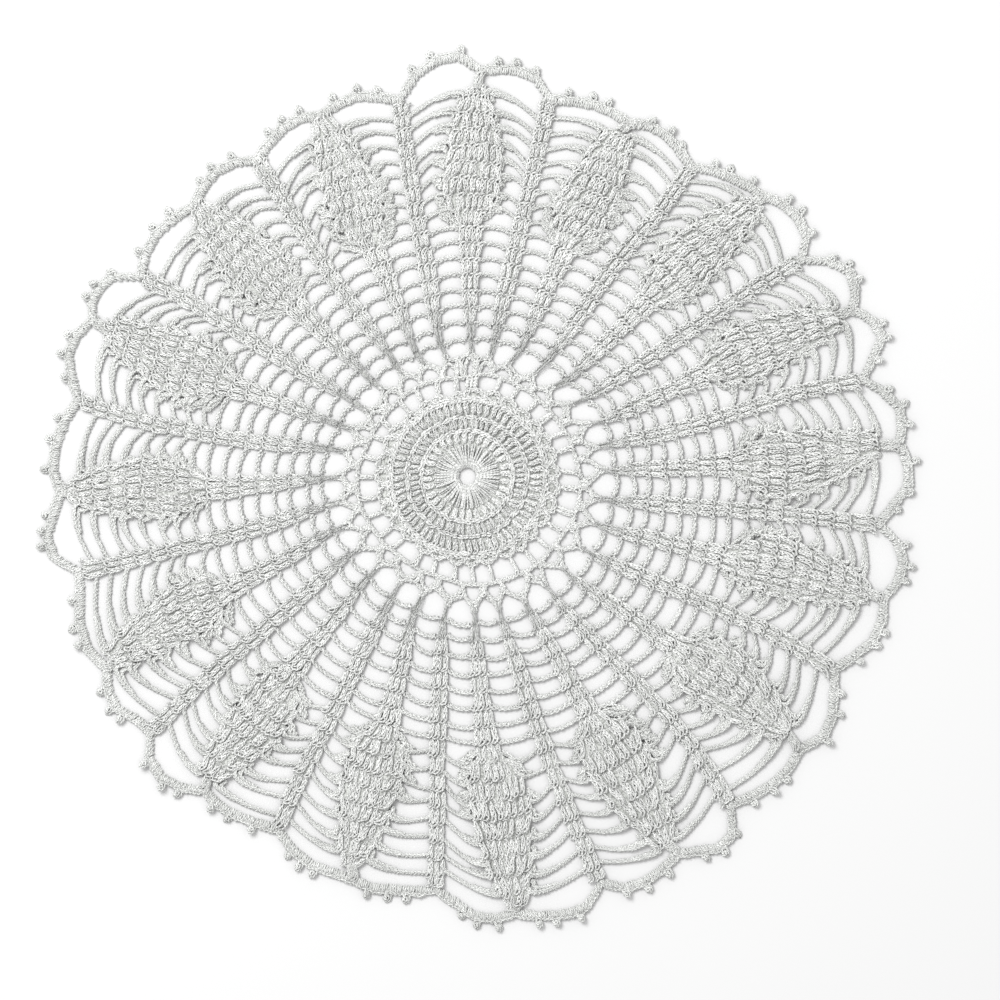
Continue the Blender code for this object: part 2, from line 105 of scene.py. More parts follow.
# One row for each leaf repeat: the leaf tip, then the edging's two arches.
rimColumns = (
    "tipAt", "tip", "joinAt", "join", "after1", "after2", "after3",
    "plainAt", "plainJoin", "next1", "next2", "next3",
)
rimRows = (
    (4.5, 132.0, 4.5, 140.0, 141.5, 141.5, 137.5, 13.9, 131.5, 136.5, 141.5, 140.5),
    (23.6, 129.7, 23.5, 135.8, 139.5, 140.5, 136.5, 33.0, 128.5, 135.0, 136.0, 135.0),
    (43.5, 127.0, 43.4, 132.0, 130.8, 129.2, 127.0, 54.0, 123.7, 126.0, 128.0, 128.0),
    (66.0, 121.5, 65.3, 126.0, 127.0, 127.3, 126.2, 77.6, 125.0, 131.0, 132.5, 132.0),
    (88.4, 124.0, 88.0, 131.2, 136.0, 135.0, 131.2, 99.8, 123.4, 126.0, 128.0, 127.2),
    (112.0, 123.4, 112.0, 125.8, 127.6, 127.2, 125.0, 123.4, 122.4, 126.0, 127.4, 126.0),
    (134.8, 121.5, 135.0, 124.0, 126.0, 127.0, 126.0, 148.3, 122.8, 131.0, 133.0, 133.0),
    (157.5, 124.0, 157.0, 130.2, 133.4, 134.0, 131.0, 168.6, 127.0, 130.6, 132.4, 133.0),
    (182.0, 126.5, 182.0, 130.4, 133.0, 136.0, 135.2, 193.6, 127.8, 130.2, 133.0, 133.4),
    (207.2, 126.6, 208.0, 130.8, 134.0, 134.6, 131.6, 219.0, 130.2, 136.2, 137.6, 135.4),
    (229.2, 126.2, 230.1, 131.2, 132.0, 131.4, 129.8, 242.0, 128.2, 132.2, 134.0, 134.0),
    (253.5, 128.5, 254.4, 134.4, 135.4, 134.6, 134.0, 266.0, 132.8, 137.0, 141.2, 142.2),
    (277.0, 137.4, 276.5, 140.8, 143.0, 144.0, 143.8, 288.5, 137.0, 141.6, 142.2, 141.0),
    (298.8, 132.6, 299.5, 138.6, 141.4, 144.4, 143.6, 309.0, 135.2, 137.8, 139.6, 140.0),
    (321.8, 131.0, 321.0, 138.4, 142.0, 141.0, 137.4, 332.6, 133.6, 137.8, 141.4, 141.6),
    (344.0, 133.6, 344.0, 139.8, 143.0, 143.6, 141.0, 353.6, 133.6, 138.0, 142.6, 142.4),
)

# One row for each leaf: its two sides' half widths, and how far their shoulders buckle up.
leafColumns = ("lowerHalf", "upperHalf", "lowerRise", "upperRise")
leafTable = (
    (11.4, 10.2, 0.5, 0.7), (9.4, 9.2, 0.2, 0.7), (9.2, 9.2, 0.2, 0.4), (8.9, 8.7, 0.7, 0.5),
    (8.6, 9.4, 0.2, 0.7), (8.8, 9.2, 0.7, 0.5), (9.9, 10.2, 0.2, 0.7), (10.4, 10.4, 0.3, 0.5),
    (9.8, 9.9, 0.4, 0.3), (9.4, 8.6, 0.3, 0.6), (8.9, 9.5, 0.3, 0.4), (9.8, 9.5, 0.4, 0.3),
    (9.5, 10.2, 0.6, 0.3), (10.4, 11.2, 0.3, 0.7), (11.2, 11.2, 0.5, 0.5), (9.6, 9.8, 0.4, 0.5),
)

net = [dict(zip(netColumns, row)) for row in netRows]
rim = [dict(zip(rimColumns, row)) for row in rimRows]
leafSides = [dict(zip(leafColumns, row)) for row in leafTable]
leaves = len(netRows)
spokes = 2 * leaves
lastRing = cloth["rungs"] + cloth["arcs"]


def isLeaf(spoke):
    return spoke % 2 == 0


def rowOf(rows, spoke):
    return rows[(spoke % spokes) // 2]


def spokeAngle(spoke, radius):
    row = rowOf(net, spoke)
    end = rowOf(rim, spoke)
    if isLeaf(spoke):
        names = ("leafFoot", "leafMid", "leafTop", "leafOut")
        endRadius, endAngle = end["tip"], end["tipAt"]
    else:
        names = ("plainFoot", "plainMid", "plainTop", "plainOut")
        endRadius, endAngle = end["plainJoin"], end["plainAt"]
    radii = (cloth["footRadius"], cloth["midRadius"], cloth["topRadius"],
             cloth["outRadius"], endRadius)
    angles = [row[name] for name in names] + [endAngle]
    return float(np.interp(radius, radii, angles)) + 360.0 * (spoke // spokes)


def ringRadius(spoke, ring):
    here = rowOf(net, spoke)
    after = rowOf(net, spoke + 2)
    share = 0.0 if isLeaf(spoke) else 0.5
    first, last, arc = [here[name] * (1.0 - share) + after[name] * share
                        for name in ("firstRung", "lastRung", "lastArc")]
    if not isLeaf(spoke):
        arc -= cloth["plainArcDrop"]
    return float(np.interp(ring, (1, cloth["rungs"], lastRing), (first, last, arc)))


def leafAlong(spoke, radius):
    last = ringRadius(spoke, cloth["rungs"])
    return (radius - last) / (rowOf(rim, spoke)["tip"] - last)


def leafHalf(spoke, radius, side=0.0):
    steps = [row[0] for row in leafShape]
    halves = [row[1] for row in leafShape]
    half = float(np.interp(leafAlong(spoke, radius), steps, halves))
    if side == 0.0:
        return half
    widest = max(halves)
    own = rowOf(leafSides, spoke)["upperHalf" if side > 0.0 else "lowerHalf"]
    swell = min(max((half - halves[0]) / (widest - halves[0]), 0.0), 1.0)
    return half * (1.0 + (own / widest - 1.0) * swell)


def halfWidth(spoke, radius, side=0.0):
    if isLeaf(spoke) and radius >= ringRadius(spoke, cloth["rungs"]):
        return leafHalf(spoke, radius, side)
    return float(np.interp(radius, (cloth["footRadius"], cloth["wideRadius"]),
                           (cloth["spokeFootHalf"], cloth["spokeHalf"])))


def edgeAngle(spoke, radius, side, inset=0.0):
    swing = math.degrees((halfWidth(spoke, radius, side) - inset) / radius)
    return spokeAngle(spoke, radius) + side * swing


def place(radius, angle, high):
    turn = math.radians(angle)
    shiftX = float(np.interp(radius, drift["radius"], drift["x"]))
    shiftY = float(np.interp(radius, drift["radius"], drift["y"]))
    return np.array((
        cloth["middle"][0] + shiftX + radius * math.cos(turn),
        cloth["middle"][1] + shiftY + radius * math.sin(turn),
        high,
    ))


# The open rounds keep to the crochet centre itself.
def spot(radius, angle, high):
    turn = math.radians(angle)
    return np.array((cloth["middle"][0] + radius * math.cos(turn),
                     cloth["middle"][1] + radius * math.sin(turn), high))


def archJoin(arch):
    row = rowOf(rim, arch)
    lap = 360.0 * (arch // spokes)
    if isLeaf(arch):
        return row["joinAt"] + lap, row["join"]
    return row["plainAt"] + lap, row["plainJoin"]


def archRadius(arch, share):
    row = rowOf(rim, arch)
    names = ("after1", "after2", "after3") if isLeaf(arch) else ("next1", "next2", "next3")
    first, second, third = [row[name] for name in names]
    start = archJoin(arch)[1]
    end = archJoin(arch + 1)[1]
    shoulder = cloth["archShoulder"]
    radii = (start, start + shoulder * (first - start), first, second, third,
             end + shoulder * (third - end), end)
    return float(np.interp(share, cloth["archSteps"], radii))


def archAngle(arch, share):
    start = archJoin(arch)[0]
    end = archJoin(arch + 1)[0]
    return start + share * (end - start)


def ringBetween(spoke, ring, share):
    low = ringRadius(spoke, ring)
    high = ringRadius(spoke + 1, ring)
    return low * (1.0 - share) + high * share


# No two stitches come out alike.
uneven = {
    "shift": (1.0, 1.0, 0.5),  # a stitch strays half as much up and down
    "width": 0.08,
    "depth": 0.15,
    "thick": 0.05,
    "lean": 20.0,  # degrees, from one chain to another
}


# Stitches are gathered in bags of places, and chains in runs of points.
def newBag(seed):
    bag = {name: [] for name in ("base", "top", "up", "width", "depth", "thick", "tint")}
    return {**bag, "random": np.random.default_rng(seed)}


def addStitch(bag, base, top, up, width, depth=1.0, jitter=0.12, thick=1.0):
    draw = bag["random"]
    for name, point in (("base", base), ("top", top)):
        bag[name].append(point + draw.normal(0.0, jitter, 3) * uneven["shift"])
    bag["up"].append(up)
    for name, size in (("width", width), ("depth", depth), ("thick", thick)):
        bag[name].append(size * draw.uniform(1.0 - uneven[name], 1.0 + uneven[name]))
    bag["tint"].append(draw.uniform(-1.0, 1.0))


def addRow(bag, lows, highs, widths, depth=1.0, jitter=0.12, thick=1.0):
    count = len(lows)
    for i in range(count):
        before, after = max(i - 1, 0), min(i + 1, count - 1)
        along = highs[i] - lows[i]
        across = (highs[after] + lows[after]) - (highs[before] + lows[before])
        if count == 1 or np.linalg.norm(across) < 1e-6:
            up = np.array((0.0, 0.0, 1.0))
        else:
            up = np.cross(across, along)
            up = up / np.linalg.norm(up)
            if up[2] < 0.0:
                up = -up
        addStitch(bag, lows[i], highs[i], up, widths[i], depth, jitter, thick)


def newRuns(seed):
    runs = {name: [] for name in ("points", "edges", "half", "thick", "roll", "phase", "tint")}
    return {**runs, "random": np.random.default_rng(seed)}


def addRun(runs, path, half, thick=1.0, roll=30.0, closed=False):
    draw = runs["random"]
    start = len(runs["points"])
    count = len(path)
    phase = draw.uniform(0.0, 2.0 * math.pi)
    tint = draw.uniform(-1.0, 1.0)
    lean = math.radians(roll + draw.uniform(-uneven["lean"], uneven["lean"]))
    for i, point in enumerate(path):
        runs["points"].append(np.asarray(point, float))
        runs["half"].append(half[i] if np.ndim(half) else half)
        runs["thick"].append(thick[i] if np.ndim(thick) else thick)
        runs["roll"].append(lean)
        runs["phase"].append(phase)
        runs["tint"].append(tint)
        if i + 1 < count:
            runs["edges"].append((start + i, start + i + 1))
    if closed:
        runs["edges"].append((start + count - 1, start))


def smoothPath(points, steps=4):
    points = [np.asarray(point, float) for point in points]
    points = [2 * points[0] - points[1]] + points + [2 * points[-1] - points[-2]]
    out = []
    for a, b, c, d in zip(points[:-3], points[1:-2], points[2:-1], points[3:]):
        for i in range(steps):
            t = i / steps
            out.append(0.5 * (2 * b + (c - a) * t + (2 * a - 5 * b + 4 * c - d) * t ** 2
                              + (3 * b - a - 3 * c + d) * t ** 3))
    out.append(points[-2])
    return out


# The thread's way through one stitch: x is across (1 = the stitch's width),
# y along (1 = its length), z in millimetres, and last how thick the thread is there.
threadPaths = {
    "post": (
        (-0.04, -0.06, -0.45, 0.85), (-0.16, 0.10, 0.00, 0.95), (-0.27, 0.32, 0.24, 1.0),
        (-0.25, 0.58, 0.32, 1.0), (-0.29, 0.82, 0.38, 0.95), (-0.06, 0.99, 0.54, 0.85),
        (0.42, 1.08, 0.62, 0.9), (0.82, 1.02, 0.46, 0.85), (0.54, 0.93, 0.24, 0.8),
        (0.29, 0.82, 0.26, 0.95), (0.24, 0.58, 0.28, 1.0), (0.28, 0.32, 0.20, 1.0),
        (0.15, 0.10, 0.02, 0.95), (-0.10, 0.16, 0.38, 0.9), (0.14, 0.36, 0.52, 0.95),
        (-0.16, 0.50, 0.57, 0.9), (0.13, 0.74, 0.57, 0.95), (-0.10, 0.88, 0.46, 0.8),
    ),
    "ray": (
        (0.0, 0.03, -0.55, 1.0), (0.0, -0.04, -0.20, 1.0), (0.0, -0.02, 0.25, 1.0),
        (0.03, 0.20, 0.42, 1.0), (0.0, 0.45, 0.44, 1.0), (-0.04, 0.70, 0.34, 1.0),
        (0.0, 0.90, 0.22, 1.0), (0.06, 1.04, 0.0, 1.0),
    ),
    "wrap": (
        (-0.24, -0.06, -0.42, 0.9), (-0.27, 0.16, 0.16, 1.0), (-0.24, 0.50, 0.40, 1.0),
        (-0.16, 0.86, 0.40, 1.0), (0.02, 1.04, 0.18, 1.0), (0.20, 0.88, 0.38, 1.0),
        (0.26, 0.50, 0.42, 1.0), (0.24, 0.16, 0.16, 1.0), (0.24, -0.06, -0.42, 0.9),
    ),
    "nub": (
        (-0.20, -0.15, -0.20, 1.1), (-0.34, 0.28, 0.05, 1.3), (-0.30, 0.66, 0.25, 1.3),
        (0.0, 0.88, 0.15, 1.3), (0.30, 0.64, 0.05, 1.3), (0.20, 0.34, 0.25, 1.3),
        (-0.08, 0.24, 0.46, 1.4), (-0.16, 0.50, 0.50, 1.4), (0.02, 0.72, 0.40, 1.4),
        (0.18, 0.52, 0.48, 1.4), (0.28, 0.26, 0.25, 1.3), (0.16, -0.12, -0.10, 1.1),
    ),
}


def addObject(name, data):
    holder = bpy.data.objects.new(name, data)
    bpy.context.scene.collection.objects.link(holder)
    return holder


def pathObject(name):
    curve = bpy.data.curves.new(name + "Path", "CURVE")
    curve.dimensions = "3D"
    spline = curve.splines.new("POLY")
    points = threadPaths[name]
    spline.points.add(len(points) - 1)
    for point, (x, y, z, radius) in zip(spline.points, points):
        point.co = (x, y, z, 1.0)
        point.radius = radius
    return addObject(name + "Path", curve)


# Small helpers for building the node trees.
def feed(tree, socket, value):
    if isinstance(value, bpy.types.NodeSocket):
        tree.links.new(value, socket)
    else:
        socket.default_value = value


def addNode(tree, kind, inputs=None, **settings):
    node = tree.nodes.new(kind)
    for name, value in settings.items():
        setattr(node, name, value)
    for name, value in (inputs or {}).items():
        feed(tree, node.inputs[name], value)
    return node


def calc(tree, operation, *values):
    return addNode(tree, "ShaderNodeMath", dict(enumerate(values)), operation=operation).outputs[0]


def vector(tree, operation, *values, scale=None):
    node = addNode(tree, "ShaderNodeVectorMath", dict(enumerate(values)), operation=operation)
    if scale is not None:
        feed(tree, node.inputs["Scale"], scale)
    return node.outputs[0]


def named(tree, name, kind="FLOAT_VECTOR"):
    node = addNode(tree, "GeometryNodeInputNamedAttribute", {"Name": name}, data_type=kind)
    return node.outputs["Attribute"]


def store(tree, geometry, name, value, kind="FLOAT"):
    node = addNode(tree, "GeometryNodeStoreNamedAttribute",
                   {"Name": name, "Geometry": geometry, "Value": value}, data_type=kind, domain="POINT")
    return node.outputs["Geometry"]


def newTree(name, sockets):
    tree = bpy.data.node_groups.new(name, "GeometryNodeTree")
    for label, kind, value in (("Geometry", "NodeSocketGeometry", None),) + sockets:
        socket = tree.interface.new_socket(name=label, in_out="INPUT", socket_type=kind)
        if value is not None:
            socket.default_value = value
    tree.interface.new_socket(name="Geometry", in_out="OUTPUT", socket_type="NodeSocketGeometry")
    return tree, tree.nodes.new("NodeGroupInput"), tree.nodes.new("NodeGroupOutput")


threadSockets = (
    ("Thread Radius", "NodeSocketFloat", 0.00038),
    ("Thread Sides", "NodeSocketInt", 5),
    ("Waver", "NodeSocketFloat", 0.0003),
    ("Waver Scale", "NodeSocketFloat", 420.0),
    ("Lumps", "NodeSocketFloat", 1.0),
    ("Lump Scale", "NodeSocketFloat", 1100.0),
    ("Seed", "NodeSocketInt", 1),
    ("Material", "NodeSocketMaterial", None),
)


def waverNodes(tree, source, curves):
    here = addNode(tree, "GeometryNodeInputPosition").outputs["Position"]
    noise = addNode(tree, "ShaderNodeTexNoise", {
        "Vector": here,
        "W": source.outputs["Seed"],
        "Scale": source.outputs["Waver Scale"],
        "Detail": 1.0,
    }, noise_dimensions="4D")
    centred = vector(tree, "SUBTRACT", noise.outputs["Color"], (0.5, 0.5, 0.5))
    shift = vector(tree, "SCALE", centred, scale=source.outputs["Waver"])
    moved = addNode(tree, "GeometryNodeSetPosition", {"Geometry": curves, "Offset": shift})
    return moved.outputs["Geometry"]


def sweepNodes(tree, source, target, curves, ownRadius=False):
    # where a point lies along the thread, and round it, for the plies
    reach = addNode(tree, "GeometryNodeSplineParameter").outputs["Length"]
    ring = addNode(tree, "GeometryNodeCurvePrimitiveCircle", {
        "Resolution": source.outputs["Thread Sides"],
        "Radius": source.outputs["Thread Radius"],
    }, mode="RADIUS")
    here = addNode(tree, "GeometryNodeInputPosition").outputs["Position"]
    around = vector(tree, "NORMALIZE", here)
    scale = named(tree, "thick", "FLOAT")
    if ownRadius:
        own = addNode(tree, "GeometryNodeInputRadius").outputs["Radius"]
        scale = calc(tree, "MULTIPLY", scale, own)
    lumps = addNode(tree, "ShaderNodeTexNoise", {"Scale": source.outputs["Lump Scale"], "Detail": 0.0})
    centred = calc(tree, "SUBTRACT", lumps.outputs["Fac"], 0.5)
    lump = calc(tree, "MULTIPLY", centred, source.outputs["Lumps"])
    sweep = addNode(tree, "GeometryNodeCurveToMesh", {
        "Curve": store(tree, curves, "reach", reach),
        "Profile Curve": store(tree, ring.outputs["Curve"], "around", around, "FLOAT_VECTOR"),
        "Scale": calc(tree, "MULTIPLY_ADD", scale, lump, scale),
        "Fill Caps": True,
    })
    whole = addNode(tree, "GeometryNodeRealizeInstances", {"Geometry": sweep.outputs["Mesh"]})
    finish = addNode(tree, "GeometryNodeSetMaterial", {
        "Geometry": whole.outputs["Geometry"],
        "Material": source.outputs["Material"],
    })
    feed(tree, target.inputs["Geometry"], finish.outputs["Geometry"])


# Lays one thread path on every point, along and facing as the point says.
def stitchTree():
    tree, source, target = newTree("laidStitches", (
        ("Stitch", "NodeSocketObject", None),
        ("Tilt", "NodeSocketFloat", 0.08),
    ) + threadSockets)
    info = addNode(tree, "GeometryNodeObjectInfo", {"Object": source.outputs["Stitch"]})
    turn = addNode(tree, "FunctionNodeAxesToRotation", {
        "Primary Axis": named(tree, "up"),
        "Secondary Axis": named(tree, "along"),
    }, primary_axis="Z", secondary_axis="Y")
    lay = addNode(tree, "GeometryNodeInstanceOnPoints", {
        "Points": source.outputs["Geometry"],
        "Instance": info.outputs["Geometry"],
        "Rotation": turn.outputs["Rotation"],
        "Scale": named(tree, "size"),
    })
    lean = addNode(tree, "FunctionNodeRandomValue", {
        "Min": calc(tree, "MULTIPLY", source.outputs["Tilt"], -1.0),
        "Max": source.outputs["Tilt"],
        "Seed": source.outputs["Seed"],
    }, data_type="FLOAT_VECTOR")
    tip = addNode(tree, "GeometryNodeRotateInstances", {
        "Instances": lay.outputs["Instances"],
        "Rotation": lean.outputs["Value"],
    })
    paths = addNode(tree, "GeometryNodeRealizeInstances", {"Geometry": tip.outputs["Instances"]})
    sweepNodes(tree, source, target, waverNodes(tree, source, paths.outputs["Geometry"]), True)
    return tree


# Plaits a few threads along every run, as a chain of loops shows them.
def plaitTree():
    tree, source, target = newTree("plaitedChain", (
        ("Strands", "NodeSocketInt", 3),
        ("Spacing", "NodeSocketFloat", 0.00135),
        ("Depth", "NodeSocketFloat", 0.00034),
        ("Step", "NodeSocketFloat", 0.0005),
    ) + threadSockets)
    strands = source.outputs["Strands"]
    runs = addNode(tree, "GeometryNodeMeshToCurve", {"Mesh": source.outputs["Geometry"]})
    evenly = addNode(tree, "GeometryNodeResampleCurve", {
        "Curve": runs.outputs["Curve"],
        "Length": source.outputs["Step"],
    }, mode="LENGTH")
    copies = addNode(tree, "GeometryNodeDuplicateElements", {
        "Geometry": evenly.outputs["Curve"],
        "Amount": strands,
    }, domain="SPLINE")
    tangent = addNode(tree, "GeometryNodeInputTangent").outputs["Tangent"]
    length = addNode(tree, "GeometryNodeSplineParameter").outputs["Length"]
    side = vector(tree, "NORMALIZE", vector(tree, "CROSS_PRODUCT", tangent, (0.0, 0.0, 1.0)))
    over = vector(tree, "CROSS_PRODUCT", side, tangent)
    period = calc(tree, "MULTIPLY", strands, source.outputs["Spacing"])
    start = calc(tree, "DIVIDE", copies.outputs["Duplicate Index"], strands)
    turns = calc(tree, "ADD", calc(tree, "DIVIDE", length, period), start)
    angle = calc(tree, "MULTIPLY_ADD", turns, 2.0 * math.pi, named(tree, "phase", "FLOAT"))
    across = calc(tree, "MULTIPLY", calc(tree, "SINE", angle), named(tree, "half", "FLOAT"))
    deep = calc(tree, "MULTIPLY", source.outputs["Depth"], named(tree, "thick", "FLOAT"))
    rise = calc(tree, "MULTIPLY", calc(tree, "SINE", calc(tree, "MULTIPLY", angle, 2.0)), deep)
    roll = named(tree, "roll", "FLOAT")
    cosine = calc(tree, "COSINE", roll)
    sine = calc(tree, "SINE", roll)
    sideways = calc(tree, "SUBTRACT", calc(tree, "MULTIPLY", across, cosine),
                    calc(tree, "MULTIPLY", rise, sine))
    upwards = calc(tree, "ADD", calc(tree, "MULTIPLY", across, sine),
                   calc(tree, "MULTIPLY", rise, cosine))
    shift = vector(tree, "ADD", vector(tree, "SCALE", side, scale=sideways),
                   vector(tree, "SCALE", over, scale=upwards))
    moved = addNode(tree, "GeometryNodeSetPosition", {
        "Geometry": copies.outputs["Geometry"],
        "Offset": shift,
    })
    sweepNodes(tree, source, target, waverNodes(tree, source, moved.outputs["Geometry"]))
    return tree


def setInput(modifier, name, value):
    for item in modifier.node_group.interface.items_tree:
        if item.item_type == "SOCKET" and item.in_out == "INPUT" and item.name == name:
            modifier[item.identifier] = value
            return
    raise KeyError(name)


def addValues(mesh, name, values, kind="FLOAT", field="value"):
    attribute = mesh.attributes.new(name, kind, "POINT")
    attribute.data.foreach_set(field, np.asarray(values, np.float32).ravel())


# Thread lower than this is pressed flatter the lower it lies, so that none goes through the table.
pressedBelow = 0.4 * mm


def pressOnTable(mesh):
    spots = np.empty(len(mesh.vertices) * 3)
    mesh.vertices.foreach_get("co", spots)
    highs = spots[2::3]
    pressed = pressedBelow * np.exp((highs - pressedBelow) / pressedBelow)
    spots[2::3] = np.where(highs < pressedBelow, pressed, highs)
    mesh.vertices.foreach_set("co", spots)


def countTriangles(mesh):
    return sum(len(face.vertices) - 2 for face in mesh.polygons)


pieces = []


def runTree(name, mesh, tree, inputs):
    piece = addObject(name, mesh)
    modifier = piece.modifiers.new("thread", "NODES")
    modifier.node_group = tree
    for label, value in inputs.items():
        setInput(modifier, label, value)
    bpy.context.view_layer.update()
    graph = bpy.context.evaluated_depsgraph_get()
    made = bpy.data.meshes.new_from_object(
        piece.evaluated_get(graph), preserve_all_data_layers=True, depsgraph=graph)
    piece.modifiers.clear()
    piece.data = made
    for extra in ("along", "up", "size", "half", "thick", "roll", "phase", "radius"):
        if extra in made.attributes:
            made.attributes.remove(made.attributes[extra])
    made.polygons.foreach_set("use_smooth", [True] * len(made.polygons))
    pressOnTable(made)
    made.update()
    pieces.append(piece)
    print("laid", name, "from", len(mesh.vertices), "points, triangles", countTriangles(made))


def layStitches(name, bag, kind, options, material):
    base = np.array(bag["base"])
    along = np.array(bag["top"]) - base
    length = np.linalg.norm(along, axis=1)
    size = np.stack((np.array(bag["width"]), length, np.array(bag["depth"])), axis=1)
    mesh = bpy.data.meshes.new(name)
    mesh.from_pydata([tuple(point) for point in base * mm], [], [])
    addValues(mesh, "along", along / length[:, None], "FLOAT_VECTOR", "vector")
    addValues(mesh, "up", bag["up"], "FLOAT_VECTOR", "vector")
    addValues(mesh, "size", size * mm, "FLOAT_VECTOR", "vector")
    addValues(mesh, "thick", bag["thick"])
    addValues(mesh, "tint", bag["tint"])
    inputs = {"Stitch": pathObjects[kind], "Material": material, **options}
    runTree(name, mesh, stitchNodes, inputs)


def layPlaits(name, runs, options, material):
    mesh = bpy.data.meshes.new(name)
    mesh.from_pydata([tuple(point * mm) for point in runs["points"]], runs["edges"], [])
    addValues(mesh, "half", np.array(runs["half"]) * mm)
    for label in ("thick", "roll", "phase", "tint"):
        addValues(mesh, label, runs[label])
    runTree(name, mesh, plaitNodes, {"Material": material, **options})


# One white cotton thread. The grooves between its plies and the gaps between its grains are darkened in
# the base colour: painted shade.
threadFinish = {
    "colour": (0.94, 0.95, 0.93),
    "shade": (0.90, 0.91, 0.89),
    "cloudScale": 90.0,
    "clouds": (0.25, 0.7),  # where the shade ends and the full colour begins
    "tint": 0.10,  # from one stitch to another
    "roughness": 0.82,
    "gloss": 0.3,
    "sheen": 0.15,
    "sheenRoughness": 0.5,
    "plyTurns": 3.0,
    "plyPerMetre": 5900.0,
    "plyDeep": 0.00016,
    # the grooves between plies are darkened in the colour: painted shade
    "groove": (0.5, -0.85),  # the twist's wave on a ply, and down between two
    "grooveShade": 0.62,
    "grainScale": 1600.0,
    # the grains: painted shade between them, with a bump
    "grain": (0.52, 0.40),  # the noise on a grain, and between two
    "grainDeep": 0.00018,
    "grainShade": 0.84,
}
# The chain's copy of the same cotton is darker: painted shade.
chainDarkerForShade = {
    **threadFinish,
    "colour": (0.92, 0.93, 0.91),
    "shade": (0.83, 0.84, 0.82),
    "grooveShade": 0.52,
    "grainShade": 0.86,
    "grainDeep": 0.00014,
}
# The arcs' and edging's copy of the same cotton is darker still: painted shade.
edgeDarkerForShade = {
    **chainDarkerForShade,
    "colour": (0.81, 0.82, 0.80),
    "shade": (0.66, 0.67, 0.65),
    "grooveShade": 0.50,
    "grainShade": 0.94,
    "plyDeep": 0.00012,
    "grainDeep": 0.00005,
}
# The ground is mid grey: painted shade in the slits between stitches.
groundDarkForShade = {
    **threadFinish,
    "colour": (0.52, 0.53, 0.51),
    "shade": (0.40, 0.41, 0.39),
    "grainShade": 0.55,
    "grainDeep": 0.0003,
}


def mapped(tree, value, limits):
    return addNode(tree, "ShaderNodeMapRange", {
        "Value": value,
        "From Min": limits[0],
        "From Max": limits[1],
    }).outputs["Result"]


# Multiplies a colour down towards grey by the amount given: painted shade.
def paintedShade(tree, colour, amount, shade):
    return addNode(tree, "ShaderNodeMix", {
        "Factor": amount,
        "A": colour,
        "B": (shade, shade, shade, 1.0),
    }, data_type="RGBA", blend_type="MULTIPLY").outputs["Result"]


def threadMaterial(name, options, plies=True):
    material = bpy.data.materials.new(name)
    material.use_nodes = True
    tree = material.node_tree
    shader = tree.nodes["Principled BSDF"]
    shader.inputs["Roughness"].default_value = options["roughness"]
    shader.inputs["Metallic"].default_value = 0.0
    shader.inputs["Sheen Weight"].default_value = options["sheen"]
    shader.inputs["Sheen Roughness"].default_value = options["sheenRoughness"]
    shader.inputs["Specular IOR Level"].default_value = options["gloss"]
    onPiece = addNode(tree, "ShaderNodeTexCoord").outputs["Object"]
    cloudy = addNode(tree, "ShaderNodeTexNoise", {
        "Vector": onPiece,
        "Scale": options["cloudScale"],
        "Detail": 3.0,
    }).outputs["Fac"]
    tint = addNode(tree, "ShaderNodeAttribute", attribute_name="tint").outputs["Fac"]
    tinted = calc(tree, "MULTIPLY_ADD", tint, options["tint"], cloudy)
    ramp = addNode(tree, "ShaderNodeValToRGB", {"Fac": tinted})
    for i, label in enumerate(("shade", "colour")):
        ramp.color_ramp.elements[i].position = options["clouds"][i]
        ramp.color_ramp.elements[i].color = (*options[label], 1.0)
    grain = addNode(tree, "ShaderNodeTexNoise", {
        "Vector": onPiece,
        "Scale": options["grainScale"],
        "Detail": 1.5,
    }).outputs["Fac"]
    # painted shade between the grains
    colour = paintedShade(tree, ramp.outputs["Color"], mapped(tree, grain, options["grain"]),
                      options["grainShade"])
    normal = addNode(tree, "ShaderNodeBump", {
        "Distance": options["grainDeep"],
        "Height": grain,
    }).outputs["Normal"]
    if plies:
        around = addNode(tree, "ShaderNodeAttribute", attribute_name="around").outputs["Vector"]
        split = addNode(tree, "ShaderNodeSeparateXYZ", {"Vector": around})
        angle = calc(tree, "ARCTAN2", split.outputs["Y"], split.outputs["X"])
        reach = addNode(tree, "ShaderNodeAttribute", attribute_name="reach").outputs["Fac"]
        run = calc(tree, "MULTIPLY", reach, options["plyPerMetre"])
        wave = calc(tree, "SINE", calc(tree, "MULTIPLY_ADD", angle, options["plyTurns"], run))
        # painted shade down in the grooves between plies
        colour = paintedShade(tree, colour, mapped(tree, wave, options["groove"]), options["grooveShade"])
        normal = addNode(tree, "ShaderNodeBump", {
            "Distance": options["plyDeep"],
            "Height": wave,
            "Normal": normal,
        }).outputs["Normal"]
    feed(tree, shader.inputs["Base Color"], colour)
    feed(tree, shader.inputs["Normal"], normal)
    return material


cottonThread = threadMaterial("cottonThread", threadFinish)
# the chain's and edge's copies of the one cotton are darker: painted shade
cottonChainDarkerForShade = threadMaterial("cottonChainDarkerForShade", chainDarkerForShade)
cottonEdgeDarkerForShade = threadMaterial("cottonEdgeDarkerForShade", edgeDarkerForShade)
# the ground's mid grey is painted shade in the slits between stitches
groundPaintedShade = threadMaterial("groundPaintedShade", groundDarkForShade, plies=False)
stitchNodes = stitchTree()
plaitNodes = plaitTree()
pathObjects = {name: pathObject(name) for name in threadPaths}
print("made the thread's finish and its node trees")

